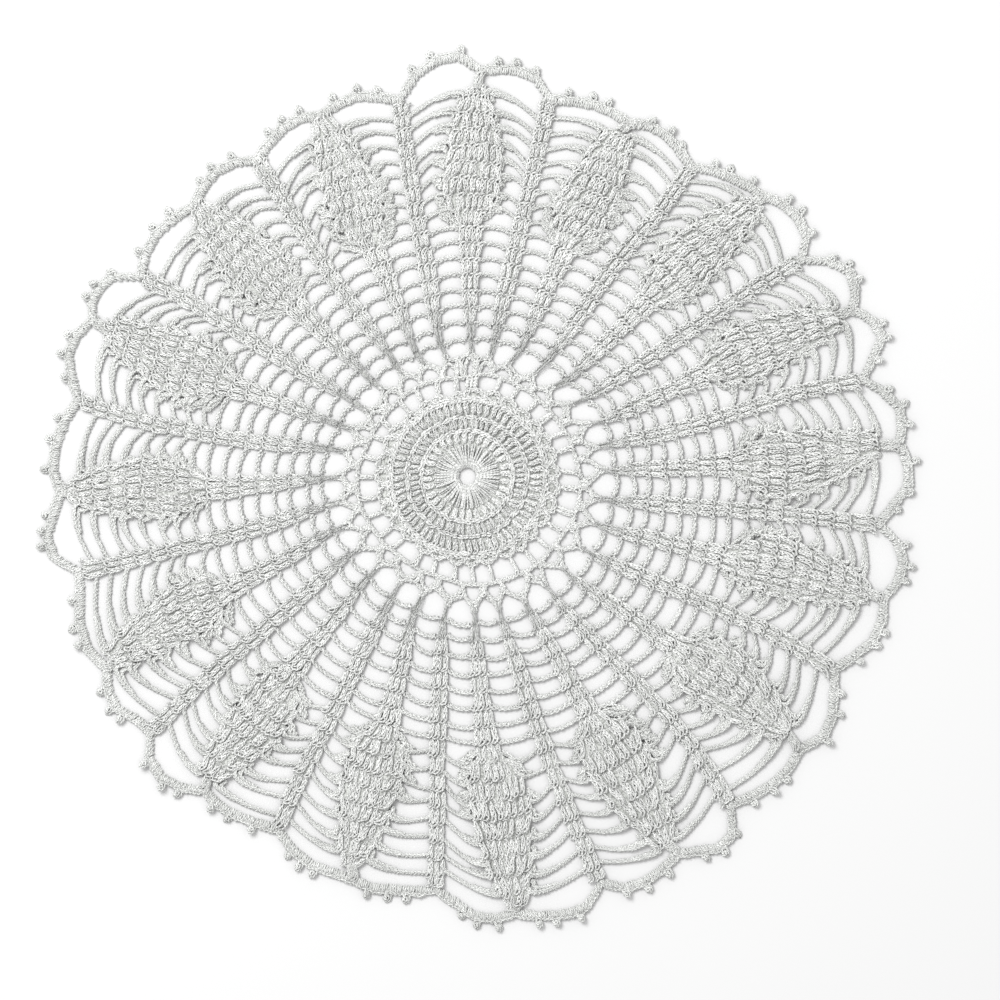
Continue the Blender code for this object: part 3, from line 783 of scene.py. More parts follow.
# Heights of the middle of the cloth over what it lies on, in millimetres.
heights = {
    "disc": 0.95,
    "net": 0.85,
    "spoke": 1.0,
    "chain": 0.85,
    "band": 0.85,
    "leafEdge": 1.35,
    "leafCrown": 2.0,
}
upright = np.array((0.0, 0.0, 1.0))
leafForm = {
    "crownPower": 0.6,
    "edgePower": 0.5,
    "buckleAt": 0.3,  # shares of the leaf's length
    "buckleLong": 0.16,
}


def leafMid(spoke, radius, side):
    along = min(max(leafAlong(spoke, radius), 0.0), 1.0)
    arched = math.sin(math.pi * along)
    foot = heights["spoke"]
    crown = foot + (heights["leafCrown"] - foot) * arched ** leafForm["crownPower"]
    rise = rowOf(leafSides, spoke)["upperRise" if side > 0.0 else "lowerRise"]
    hump = math.exp(-((along - leafForm["buckleAt"]) / leafForm["buckleLong"]) ** 2)
    edge = foot + (heights["leafEdge"] + rise * hump - foot) * arched ** leafForm["edgePower"]
    return crown + (edge - crown) * side * side


# Places all the way round, for a closed line.
def roundPath(count, placeAt):
    return [placeAt(angle) for angle in np.linspace(0.0, 360.0, count, endpoint=False)]


# The close centre: rays round the eye, then three rounds of posts.
disc = {
    "rays": 80,
    "rayInner": 3.15,
    "rayOuter": 10.0,
    "ray": (1.4, 0.8, 0.08),  # width, depth and unevenness
    "swirl": 3.0,
    "unevenness": 0.12,
    "headOut": 0.65,  # the chain loops over a post: out from its head
    "headShare": 0.56,  # of the pitch
    "head": (1.5, 0.8, 0.25),  # width, depth and unevenness
}
discColumns = ("posts", "inner", "outer", "share", "first", "pairShift", "depth", "thick", "loops")
discRows = (
    (32, 10.6, 13.9, 0.79, 3.0, 0.0, 0.7, 1.14, 2),
    (64, 15.1, 18.5, 0.80, 0.2, 0.10, 1.0, 0.80, 1),
    (64, 19.8, 23.9, 0.81, 5.6, 0.0, 1.0, 0.95, 1),
)
postOptions = {"Thread Sides": 4, "Thread Radius": 0.00037}
rayOptions = {**postOptions, "Thread Radius": 0.00031}

rayBag = newBag(101)
for i in range(disc["rays"]):
    angle = 360.0 * (i + 0.5) / disc["rays"]
    low = place(disc["rayInner"], angle, heights["disc"])
    high = place(disc["rayOuter"], angle + disc["swirl"], heights["disc"])
    addStitch(rayBag, low, high, upright, *disc["ray"])
discBag = newBag(102)
headBag = newBag(106)
for row in discRows:
    posts = dict(zip(discColumns, row))
    pitch = 360.0 / posts["posts"]
    width = math.radians(pitch) * 0.5 * (posts["inner"] + posts["outer"]) * posts["share"]
    for i in range(posts["posts"]):
        angle = posts["first"] + pitch * i
        angle += posts["pairShift"] * pitch * (1 if i % 2 == 0 else -1)
        turn = angle + disc["swirl"] * 0.5
        low = place(posts["inner"], angle, heights["disc"])
        high = place(posts["outer"], turn, heights["disc"])
        addStitch(discBag, low, high, upright, width, posts["depth"], disc["unevenness"], posts["thick"])
        span = disc["headShare"] * pitch / posts["loops"]
        for k in range(posts["loops"]):
            middle = turn + pitch * (k + 0.5) / posts["loops"]
            low = place(posts["outer"] + disc["headOut"], middle - span, heights["disc"])
            high = place(posts["outer"] + disc["headOut"], middle + span, heights["disc"])
            addStitch(headBag, low, high, upright, *disc["head"])
layStitches("centreRays", rayBag, "ray", {**rayOptions, "Seed": 11}, cottonThread)
layStitches("centreDisc", discBag, "post", {**postOptions, "Seed": 11}, cottonThread)
layStitches("centreHeads", headBag, "wrap", {**postOptions, "Seed": 14}, cottonThread)

# The open rounds between the close centre and the net, charted about the crochet centre.
# One row for each hole of the first round.
holeColumns = ("at", "half", "inner", "outer")
holeRows = (
    (9.3, 4.5, 29.3, 35.0), (20.7, 3.7, 29.3, 34.8), (30.8, 4.0, 29.2, 33.9), (42.2, 3.7, 28.3, 33.6),
    (53.4, 4.8, 28.4, 33.6), (65.3, 4.2, 28.6, 33.2), (77.5, 5.8, 28.6, 33.2), (91.4, 1.6, 27.6, 31.1),
    (101.0, 4.4, 26.3, 31.6), (113.7, 4.5, 27.4, 32.1), (125.0, 4.0, 26.5, 32.1), (138.0, 6.0, 27.2, 31.8),
    (150.6, 2.8, 28.3, 32.3), (162.0, 5.0, 27.4, 32.3), (173.8, 3.6, 28.6, 33.7), (185.6, 4.8, 27.6, 34.1),
    (196.9, 3.6, 28.3, 33.9), (207.5, 4.6, 27.6, 33.0), (219.6, 4.2, 27.0, 32.7), (231.5, 5.8, 26.3, 31.8),
    (244.8, 3.8, 27.2, 32.0), (256.6, 5.0, 26.7, 31.8), (268.9, 4.0, 27.6, 33.1), (279.7, 4.2, 27.7, 33.9),
    (292.2, 6.0, 27.6, 34.1), (303.9, 3.2, 28.6, 35.0), (314.4, 4.3, 28.8, 35.0), (325.6, 4.5, 28.4, 34.8),
    (336.6, 3.1, 29.7, 36.0), (347.7, 4.3, 29.7, 36.2), (358.9, 3.4, 29.5, 36.3),
)
# One row for each leaf repeat: the small hole at the leaf spoke's foot and the dip
# after it, then the same at the plain spoke.
loopColumns = ("leafAt", "leafHalf", "leafTop", "leafDipAt", "leafDip",
               "plainAt", "plainHalf", "plainTop", "plainDipAt", "plainDip")
loopRows = (
    (4.0, 3.3, 41.5, 9.1, 39.4, 13.8, 2.6, 39.9, 18.6, 39.4),
    (24.5, 2.6, 40.0, 29.0, 38.2, 35.9, 3.3, 38.0, 41.4, 37.3),
    (47.5, 3.8, 37.1, 52.1, 37.0, 57.4, 2.8, 36.7, 62.1, 37.1),
    (70.4, 4.0, 36.6, 74.6, 36.9, 79.4, 1.9, 36.7, 83.5, 38.8),
    (87.6, 1.6, 37.8, 93.0, 38.5, 98.3, 2.2, 35.9, 101.9, 35.7),
    (109.3, 4.4, 36.7, 115.5, 36.9, 120.8, 4.4, 36.6, 126.4, 36.2),
    (132.4, 3.3, 36.2, 139.7, 36.6, 145.8, 2.9, 35.6, 149.8, 36.2),
    (156.1, 2.1, 37.3, 162.0, 37.1, 166.9, 3.8, 37.5, 173.6, 37.3),
    (179.0, 3.4, 38.2, 184.0, 38.7, 190.3, 2.2, 38.5, 196.0, 36.9),
    (201.9, 3.0, 38.7, 206.6, 37.6, 213.6, 3.8, 38.0, 219.0, 36.8),
    (225.0, 3.0, 36.7, 231.2, 36.6, 237.5, 5.0, 36.2, 244.3, 37.3),
    (250.3, 2.7, 36.6, 255.0, 36.9, 262.5, 5.0, 37.3, 269.2, 38.2),
    (273.7, 3.5, 39.1, 278.4, 38.4, 284.3, 3.0, 39.2, 288.6, 38.7),
    (295.4, 5.0, 40.3, 301.8, 39.4, 306.8, 2.3, 39.1, 310.9, 37.8),
    (317.5, 3.7, 39.2, 322.9, 38.9, 329.0, 4.0, 39.9, 336.1, 39.6),
    (341.2, 2.7, 40.3, 346.0, 39.4, 351.4, 2.5, 40.1, 356.3, 39.4),
)
holes = [dict(zip(holeColumns, row)) for row in holeRows]
loops = [dict(zip(loopColumns, row)) for row in loopRows]
openRound = {
    "postPitch": 1.35,
    "leastBarPost": 1.2,
    "loopPost": 1.3,
    "post": (1.0, 0.15, 1.05),  # depth, unevenness and thickness
    "postSpread": 1.1,
    "ridgeRadius": 24.9,
    "ridge": (0.95, 1.15, 10.0),  # half width, thickness and roll
    "rim": (0.66, 1.1, 25.0),
    "ring": (0.48, 1.05, 20.0),
    "loop": (0.42, 1.0, 30.0),
    "ridgePoints": 100,
    "ringPoints": 140,
    "barFoot": 0.6,  # out from the ridge
    "barInset": 0.8,
    "barReach": 1.3,
    "barCrown": 0.1,
    "barPost": 0.2,
    "steps": 3,
    "rope": 0.70,  # from a hole's edge to the middle of the rope round it
    "ringAtBar": 0.35,
    "rimAtHole": 0.2,
    "rimAtBar": 0.2,
    # the loop over a hole: shares of its reach sideways and of its height
    "loopSides": ((-1.0, 0.50), (-0.62, 0.92)),
    "shoulderTop": 1.6,  # over the hole
    "shoulderLean": 0.55,  # share of the way back to the dip
    "shoulderTail": 2.2,
    "shoulderApart": (0.3, 0.8, 0.5),  # degrees, at the dip, the top and the tail
    "shoulderOut": (0.1, 0.3),  # millimetres outwards, at the bend and the top
    "dipPost": 0.6,
    "dipLean": 0.4,
}


def loopOf(spoke):
    row = rowOf(loops, spoke)
    kind = "leaf" if isLeaf(spoke) else "plain"
    lap = 360.0 * (spoke // spokes)
    return {
        "at": row[kind + "At"] + lap,
        "half": row[kind + "Half"],
        "top": row[kind + "Top"],
        "dipAt": row[kind + "DipAt"] + lap,
        "dip": row[kind + "Dip"],
    }


bars = []
for i, hole in enumerate(holes):
    after = holes[(i + 1) % len(holes)]
    start = hole["at"] + hole["half"]
    end = after["at"] - after["half"] + (360.0 if i + 1 == len(holes) else 0.0)
    bars.append({
        "at": 0.5 * (start + end),
        "wide": math.radians(end - start) * 0.5 * (hole["inner"] + hole["outer"]),
        "inner": 0.5 * (hole["inner"] + after["inner"]),
        "outer": 0.5 * (hole["outer"] + after["outer"]),
    })


# A line round the centre that passes each hole and each bar at its own distance.
def roundLine(angle, side, atHole, atBar):
    knots = [(hole["at"], hole[side] + atHole) for hole in holes]
    knots += [(bar["at"] % 360.0, bar[side] + atBar) for bar in bars]
    angles, radii = zip(*sorted(knots))
    return float(np.interp(angle, angles, radii, period=360.0))


def ringLine(angle):
    return roundLine(angle, "outer", openRound["rope"], openRound["ringAtBar"])


def rimLine(angle):
    return roundLine(angle, "inner", -openRound["rope"] - openRound["rimAtHole"], openRound["rimAtBar"])


def chainSpot(radius, angle):
    return spot(radius, angle, heights["chain"])


def footAngle(spoke, radius):
    loop = loopOf(spoke)
    first = ringRadius(spoke, 1)
    return float(np.interp(radius, (loop["top"], first), (loop["at"], spokeAngle(spoke, first))))


fanBag = newBag(103)
loopRuns = newRuns(104)
rope = openRound["rope"]
ridgePath = roundPath(openRound["ridgePoints"],
                      lambda angle: place(openRound["ridgeRadius"], angle, heights["disc"]))
addRun(loopRuns, ridgePath, *openRound["ridge"], closed=True)
ringPath = roundPath(openRound["ringPoints"], lambda angle: chainSpot(ringLine(angle), angle))
addRun(loopRuns, ringPath, *openRound["ring"], closed=True)
for i, bar in enumerate(bars):
    before, after = holes[i], holes[(i + 1) % len(holes)]
    lap = 360.0 if i + 1 == len(holes) else 0.0
    inset = math.degrees(rope / bar["inner"])
    low = openRound["ridgeRadius"] + openRound["barFoot"]
    reach = openRound["barReach"] * rope
    path = [
        place(low, before["at"] + openRound["barInset"] * inset, heights["disc"]),
        spot(before["inner"] - reach, before["at"] + inset, heights["disc"]),
        spot(bar["inner"] + openRound["barCrown"], bar["at"], heights["disc"]),
        spot(after["inner"] - reach, after["at"] + lap - inset, heights["disc"]),
        place(low, after["at"] + lap - openRound["barInset"] * inset, heights["disc"]),
    ]
    addRun(loopRuns, smoothPath(path), *openRound["rim"])
    count = max(1, int(round(bar["wide"] / openRound["postPitch"])))
    width = max(bar["wide"] / count, openRound["leastBarPost"])
    for k in range(count):
        swing = openRound["postSpread"] * ((k + 0.5) / count - 0.5) * bar["wide"]
        lowAngle = bar["at"] + math.degrees(swing / bar["inner"])
        highAngle = bar["at"] + math.degrees(swing / bar["outer"])
        addStitch(fanBag, spot(bar["inner"] + openRound["barPost"], lowAngle, heights["net"]),
                  spot(ringLine(highAngle), highAngle, heights["net"]),
                  upright, width, *openRound["post"])
for spoke in range(spokes):
    loop, before, after = loopOf(spoke), loopOf(spoke - 1 + spokes), loopOf(spoke + 1)
    side = math.degrees(rope / loop["top"])
    reach = loop["half"] + side
    foot = ringLine(loop["at"])
    tall = loop["top"] - foot
    left = [chainSpot(ringLine(loop["at"] - reach), loop["at"] - reach)]
    right = [chainSpot(ringLine(loop["at"] + reach), loop["at"] + reach)]
    for sideways, upwards in openRound["loopSides"]:
        radius = foot + upwards * tall
        left.append(chainSpot(radius, loop["at"] + sideways * reach))
        right.append(chainSpot(radius, loop["at"] - sideways * reach))
    path = left + [chainSpot(loop["top"] + rope, loop["at"])] + right[::-1]
    addRun(loopRuns, smoothPath(path, openRound["steps"]), *openRound["loop"])
    # the shoulders, from the dips on both sides up to the spoke's foot
    top = loop["top"] + openRound["shoulderTop"]
    tail = top + openRound["shoulderTail"]
    lean = openRound["shoulderLean"]
    atDip, atTop, atTail = openRound["shoulderApart"]
    bendOut, topOut = openRound["shoulderOut"]
    for dipAt, dip, turn in ((before["dipAt"] - 360.0, before["dip"], -1.0),
                             (loop["dipAt"], loop["dip"], 1.0)):
        low = dip - rope
        path = [
            chainSpot(low, dipAt - turn * atDip),
            chainSpot(lean * low + (1.0 - lean) * top + bendOut, loop["at"] + lean * (dipAt - loop["at"])),
            chainSpot(top + topOut, footAngle(spoke, top) + turn * atTop),
            chainSpot(tail, footAngle(spoke, tail) + turn * atTail),
        ]
        addRun(loopRuns, smoothPath(path, openRound["steps"]), *openRound["loop"])
    start = loop["at"] + loop["half"] + side
    end = after["at"] - after["half"] - side
    wide = math.radians(end - start) * loop["dip"]
    count = int(round(wide / openRound["postPitch"]))
    for k in range(count):
        angle = start + (k + 0.5) / count * (end - start)
        topAngle = angle + openRound["dipLean"] * (loop["dipAt"] - angle)
        addStitch(fanBag, spot(ringLine(angle), angle, heights["net"]),
                  spot(loop["dip"] - openRound["dipPost"], topAngle, heights["net"]),
                  upright, openRound["loopPost"], *openRound["post"])
plaitOptions = {"Thread Sides": 4, "Spacing": 0.0017, "Depth": 0.00026,
                "Waver": 0.0004, "Waver Scale": 600.0, "Step": 0.0006}
layStitches("openRoundFans", fanBag, "post", {**postOptions, "Seed": 12}, cottonThread)
# the loops take the chain's darker copy of the cotton: painted shade
layPlaits("openRoundLoops", loopRuns, {**plaitOptions, "Seed": 13}, cottonChainDarkerForShade)
print("laid the centre and the open rounds")

# The spokes, three posts wide, and the chains that cross between them.
spokeRows = {
    "posts": (-1.0, 0.0, 1.0),
    "footPosts": (-0.5, 0.5),
    "flarePosts": (-1.5, -0.5, 0.5, 1.5),
    "widest": 2.2,  # posts that would come out wider get a fourth beside them
    "flareShare": 0.75,
    "radius": (46.0, 50.0, 54.0, 60.0, 76.0, 90.0),
    "postWidth": (0.72, 0.98, 1.45, 1.86, 1.86, 1.80),
    "fullWidth": 1.86,
    "footFrom": 1.2,
    "footReach": 0.5,
    "footSpread": 1.3,
    "leafFlare": 1.5,
    "flareLong": 12.0,
    "underBand": 0.8,
    "shortestRow": 3.0,
}
spokeBag = newBag(105)
outerBag = newBag(106)


def postWidth(radius):
    return float(np.interp(radius, spokeRows["radius"], spokeRows["postWidth"]))


def spokePost(spoke, radius):
    if not isLeaf(spoke):
        return postWidth(radius)
    last = ringRadius(spoke, cloth["rungs"])
    flare = np.interp(radius, (last - spokeRows["flareLong"], last), (1.0, spokeRows["leafFlare"]))
    return postWidth(radius) * float(flare)


def wayAngle(spoke, radius):
    return footAngle(spoke, radius) if radius < ringRadius(spoke, 1) else spokeAngle(spoke, radius)


def postRow(bag, spoke, low, high, lowHalf, highHalf, posts, width):
    lows, highs = [], []
    for offset in posts:
        lowAngle = wayAngle(spoke, low) + math.degrees(offset * lowHalf / low)
        highAngle = wayAngle(spoke, high) + math.degrees(offset * highHalf / high)
        lows.append(place(low, lowAngle, heights["spoke"]))
        highs.append(place(high, highAngle, heights["spoke"]))
    addRow(bag, lows, highs, [width] * len(lows), thick=width / spokeRows["fullWidth"])


for spoke in range(spokes):
    radii = [ringRadius(spoke, ring) for ring in range(1, cloth["rungs"] + 1)]
    foot = loopOf(spoke)["top"] + spokeRows["footFrom"]
    wide = postWidth(radii[0])
    postRow(spokeBag, spoke, foot, radii[0], wide * spokeRows["footReach"], wide * spokeRows["footSpread"],
            spokeRows["footPosts"], wide)
    for low, high in zip(radii[:-1], radii[1:]):
        lowWidth, highWidth, posts = spokePost(spoke, low), spokePost(spoke, high), spokeRows["posts"]
        if highWidth > spokeRows["widest"]:
            lowWidth *= spokeRows["flareShare"]
            highWidth *= spokeRows["flareShare"]
            posts = spokeRows["flarePosts"]
        postRow(spokeBag, spoke, low, high, lowWidth, highWidth, posts, highWidth)
    if not isLeaf(spoke):
        end = rowOf(rim, spoke)["plainJoin"] - cloth["bandWidth"] + spokeRows["underBand"]
        radii = [ringRadius(spoke, ring) for ring in range(cloth["rungs"], lastRing + 1)]
        radii = [radius for radius in radii if radius < end - spokeRows["shortestRow"]] + [end]
        for low, high in zip(radii[:-1], radii[1:]):
            postRow(outerBag, spoke, low, high, postWidth(low), postWidth(high),
                    spokeRows["posts"], postWidth(high))
spokeOptions = {**postOptions, "Waver": 0.0005, "Waver Scale": 800.0}
layStitches("ladderSpokes", spokeBag, "post", {**spokeOptions, "Seed": 14}, cottonThread)
layStitches("outerSpokes", outerBag, "post", {**spokeOptions, "Seed": 15}, cottonThread)

rungChain = {
    "half": 0.50,
    "endHalf": 0.95,
    "roll": 40.0,
    "inset": 0.2,
    "bow": 0.5,
    "uneven": 0.3,
    "flarePower": 3,
    "points": 9,
}
rungRuns = newRuns(107)
for spoke in range(spokes):
    for ring in range(1, cloth["rungs"] + 1):
        low = ringRadius(spoke, ring)
        high = ringRadius(spoke + 1, ring)
        start = edgeAngle(spoke, low, 1, rungChain["inset"])
        end = edgeAngle(spoke + 1, high, -1, rungChain["inset"])
        lean, shift = rungRuns["random"].normal(0.0, rungChain["uneven"], 2)
        path, halves = [], []
        for share in np.linspace(0.0, 1.0, rungChain["points"]):
            bow = rungChain["bow"] * 4.0 * share * (1.0 - share)
            radius = ringBetween(spoke, ring, share) + bow + shift + lean * (2.0 * share - 1.0)
            flare = abs(2.0 * share - 1.0) ** rungChain["flarePower"]
            flare *= rungChain["endHalf"] - rungChain["half"]
            path.append(place(radius - flare, start + share * (end - start), heights["chain"]))
            halves.append(rungChain["half"] + flare)
        addRun(rungRuns, path, halves, 1.0, rungChain["roll"])
# the rungs take the chain's darker copy of the cotton: painted shade
layPlaits("ladderRungs", rungRuns, {**plaitOptions, "Seed": 16}, cottonChainDarkerForShade)
print("laid the spokes and rungs")

# The leaves, in rows of posts from ring to ring.
leafRows = {
    "stitchWidth": 1.78,
    "overlap": 1.06,
    "unevenness": 0.28,
    "smile": 1.0,  # how far a row of a full leaf sags at its ends
    "fullHalf": 9.6,
    "topInset": 0.7,
    "footReach": 1.7,  # how far a row's outer posts reach out at the foot, over the arc
    "footPower": 5,
    "footHalf": 6.0,
    "footRise": 0.3,
    "shortestRow": 2.0,
}
leafBags = [newBag(108), newBag(109)]
for index in range(leaves):
    spoke = 2 * index
    bag = leafBags[0] if index < leaves // 2 else leafBags[1]
    tip = rowOf(rim, spoke)["tip"]
    radii = [ringRadius(spoke, ring) for ring in range(cloth["rungs"], lastRing + 1)]
    if tip - radii[-1] > leafRows["shortestRow"]:
        radii.append(tip)
    for low, high in zip(radii[:-1], radii[1:]):
        lowHalves = [leafHalf(spoke, low, side) for side in (-1.0, 1.0)]
        highHalves = [leafHalf(spoke, high, side) - leafRows["topInset"] for side in (-1.0, 1.0)]
        wide = (sum(lowHalves) + sum(highHalves)) / 2.0
        count = max(2, int(round(wide / leafRows["stitchWidth"])))
        lows, highs = [], []
        for i in range(count):
            side = 2.0 * (i + 0.5) / count - 1.0
            lowHalf, highHalf = [halves[1 if side > 0.0 else 0] for halves in (lowHalves, highHalves)]
            drop = leafRows["smile"] * side * side * highHalf / leafRows["fullHalf"]
            share = abs(side) ** leafRows["footPower"] * min(1.0, lowHalf / leafRows["footHalf"])
            lowSide = side * lowHalf + math.copysign(leafRows["footReach"] * share, side)
            lowAngle = spokeAngle(spoke, low) + math.degrees(lowSide / low)
            highAngle = spokeAngle(spoke, high) + math.degrees(side * highHalf / high)
            lowHigh = leafMid(spoke, low, side) + leafRows["footRise"] * share
            lows.append(place(low - drop, lowAngle, lowHigh))
            highs.append(place(high - drop, highAngle, leafMid(spoke, high, side)))
        addRow(bag, lows, highs, [wide / count * leafRows["overlap"]] * count,
               jitter=leafRows["unevenness"])
leafOptions = {**postOptions, "Tilt": 0.12, "Waver": 0.0006, "Waver Scale": 800.0}
layStitches("leavesFirst", leafBags[0], "post", {**leafOptions, "Seed": 17}, cottonThread)
layStitches("leavesSecond", leafBags[1], "post", {**leafOptions, "Seed": 18}, cottonThread)
print("laid the leaves")

# The arcs: each leaves a plain spoke along its edge, crosses to the leaf,
# turns there, and comes back in along the leaf's edge to the arc before.
arcChain = {
    "half": 0.46,
    "edgeHalf": 0.62,
    "edgeThick": 1.15,
    "roll": 36.0,
    "uneven": 0.6,
    "kneeUneven": 0.25,
    "ring": (8, 9, 12, 14, 16),
    "sag": (0.0, 0.2, 0.6, 0.8, 0.8),
    "knee": (0.8, 1.2, 2.0, 2.4, 2.0),
    # from this share of the way on, an arc rises and swells towards the leaf's edge
    "nearFrom": 0.6,
    "nearHalf": 0.2,
    "nearThick": 0.1,
    "overEdge": 0.3,
    # millimetres in from the plain spoke's edge, outwards from the ring
    "hug": ((0.9, -1.4), (0.1, -0.5)),
    # share of the way, share of the knee
    "cross": ((0.16, 0.15), (0.42, 0.65), (0.68, 0.98), (0.86, 1.02)),
    # inwards past the leaf's edge, outwards from the knee, height over the leaf's edge
    "turn": ((-0.4, -0.3, 0.1), (0.6, -0.9, 0.0), (1.4, -1.8, -0.2)),
    "steps": 4,
}
# The ropes beside an arc's end make the lobe at the leaf's edge.
lobes = {
    "size": 1.25,
    "grow": (0.6, 0.7),  # the least, and what the swell adds
    "swell": (0.15, 0.25),  # where along the leaf, and how long
    "full": (0.35, 0.35),
    "uneven": 0.3,
    "half": 0.62,
    "halfGrow": 0.3,
    "thick": 1.15,
    "down": 0.3,
    "downUneven": 0.5,
    "step": 0.3,  # each further rope lies lower
    "lag": 0.06,  # and bends out a little later
    "more": (0.28, 0.46),  # how full the leaf's side is where a second and a third rope come in
    # share of the way, share of the knee, share of the lobe inwards
    "cross": ((0.52, 0.8, 0.35), (0.74, 1.0, 0.75), (0.90, 0.9, 1.0)),
    # shares of the lobe outside the leaf's edge and in from the knee, then inwards from the knee
    "turn": ((0.75, 1.0, 0.8), (0.45, 1.0, 2.2), (-0.4, 1.0, 3.2)),
    "steps": 3,
}


# How near a share of an arc's way is to the leaf: 0 to 1.
def nearLeaf(share):
    return max(0.0, (share - arcChain["nearFrom"]) / (1.0 - arcChain["nearFrom"]))


def crossPlace(arc, share, lift, drop, rise):
    radius = arc["plainRadius"] + (arc["leafRadius"] - arc["plainRadius"]) * share
    edge = leafMid(arc["leaf"], arc["leafRadius"], float(arc["side"])) + rise
    high = heights["chain"] + nearLeaf(share) * (edge - heights["chain"])
    angle = arc["start"] + share * (arc["end"] - arc["start"])
    return place(radius + arc["knee"] * lift - drop, angle, high)


def edgePlace(arc, outward, inset, rise):
    radius = arc["leafRadius"] + arc["knee"] + outward
    angle = edgeAngle(arc["leaf"], radius, arc["side"], inset)
    return place(radius, angle, leafMid(arc["leaf"], radius, float(arc["side"])) + rise)


def layArc(runs, arc):
    path, halves, thicks = [], [], []
    for inward, outward in arcChain["hug"]:
        angle = arc["start"] + arc["side"] * math.degrees(inward / arc["plainRadius"])
        path.append(place(arc["plainRadius"] + outward, angle, heights["chain"]))
        halves.append(arcChain["half"])
        thicks.append(1.0)
    for share, lift in arcChain["cross"]:
        path.append(crossPlace(arc, share, lift, 0.0, arcChain["overEdge"]))
        halves.append(arcChain["half"] * (1.0 + arcChain["nearHalf"] * nearLeaf(share)))
        thicks.append(1.0 + arcChain["nearThick"] * nearLeaf(share))
    for inward, outward, rise in arcChain["turn"]:
        path.append(edgePlace(arc, outward, inward, rise))
        halves.append(arcChain["edgeHalf"])
        thicks.append(arcChain["edgeThick"])
    steps = arcChain["steps"]
    spread = np.linspace(0, len(path) - 1, steps * (len(path) - 1) + 1)
    addRun(runs, smoothPath(path, steps), np.interp(spread, range(len(path)), halves),
           np.interp(spread, range(len(path)), thicks), arcChain["roll"])


def layLobe(runs, arc):
    along = leafAlong(arc["leaf"], arc["leafRadius"])
    swell, full = [math.exp(-((along - lobes[name][0]) / lobes[name][1]) ** 2)
                   for name in ("swell", "full")]
    rise = rowOf(leafSides, arc["leaf"])["upperRise" if arc["side"] > 0 else "lowerRise"]
    draw = runs["random"]
    size = lobes["size"] * (lobes["grow"][0] + lobes["grow"][1] * swell)
    size *= draw.uniform(1.0 - lobes["uneven"], 1.0 + lobes["uneven"])
    down = lobes["down"] * draw.uniform(1.0 - lobes["downUneven"], 1.0 + lobes["downUneven"])
    count = 1 + sum(full * rise > least for least in lobes["more"])
    for k in range(count):
        lobe = (k + 1) * size
        low = -down - lobes["step"] * k
        path = []
        for share, lift, drop in lobes["cross"]:
            share += lobes["lag"] * k * (1.0 - share)
            path.append(crossPlace(arc, share, lift, drop * lobe, low))
        for outside, drop, inward in lobes["turn"]:
            path.append(edgePlace(arc, -drop * lobe - inward / (k + 1), -outside * lobe, low))
        addRun(runs, smoothPath(path, lobes["steps"]), lobes["half"] * (1.0 + lobes["halfGrow"] * swell),
               lobes["thick"], arcChain["roll"])


arcRuns = [newRuns(110), newRuns(114)]
for spoke in range(spokes):
    runs = arcRuns[0] if spoke < leaves else arcRuns[1]
    draw = runs["random"]
    plain, leaf = (spoke + 1, spoke) if isLeaf(spoke) else (spoke, spoke + 1)
    side = 1 if isLeaf(spoke) else -1  # the side of the leaf that the arcs meet
    for ring in range(cloth["rungs"] + 1, lastRing + 1):
        sag, knee = [float(np.interp(ring, arcChain["ring"], arcChain[name])) for name in ("sag", "knee")]
        knee *= draw.uniform(1.0 - arcChain["kneeUneven"], 1.0 + arcChain["kneeUneven"])
        plainRadius, leafRadius = [
            ringRadius(end, ring) - sag + draw.normal(0.0, arcChain["uneven"]) for end in (plain, leaf)]
        arc = {
            "leaf": leaf,
            "side": side,
            "knee": knee,
            "plainRadius": plainRadius,
            "leafRadius": leafRadius,
            "start": edgeAngle(plain, plainRadius, -side),
            "end": edgeAngle(leaf, leafRadius, side),
        }
        layArc(runs, arc)
        layLobe(runs, arc)
arcOptions = {**plaitOptions, "Spacing": 0.0013}
# the arcs take the edge's darker copy of the cotton: painted shade
layPlaits("leafArcsFirst", arcRuns[0], {**arcOptions, "Seed": 19}, cottonEdgeDarkerForShade)
layPlaits("leafArcsSecond", arcRuns[1], {**arcOptions, "Seed": 23}, cottonEdgeDarkerForShade)
print("laid the arcs")

# The edging: short stitches over a chain, knots along it, and links to the leaf tips.
edging = {
    "chainIn": 1.0,  # in from the rim
    "chain": (0.60, 1.15, 12.0),  # half width, thickness and roll
    "chainPoints": 20,  # in each arch
    "uneven": 0.16,
    "spacing": 0.00125,
    "width": 3.0,
    "lengthPoints": 9,  # along an arch, for its length
    "stitchPitch": 1.4,
    "stitchFrom": 3.1,
    "stitchTo": 1.2,
    "stitchRise": 0.1,
    "stitch": (0.8, 0.12, 1.12),  # depth, unevenness and thickness
    "picotFrom": -0.7,  # outwards from the rim
    "picotTo": 2.5,
    "picotRise": (0.1, 0.2),  # at its foot and its head
    "picot": (2.9, 1.3, 0.2),  # width, depth and unevenness
    "linkPosts": (-0.95, 0.0, 0.95),
    "linkLap": 0.8,
    "shortestLink": 1.5,
    "link": (1.6, 1.0, 0.1),
}
picotColumns = ("first", "second", "third", "fourth", "fifth", "sixth")
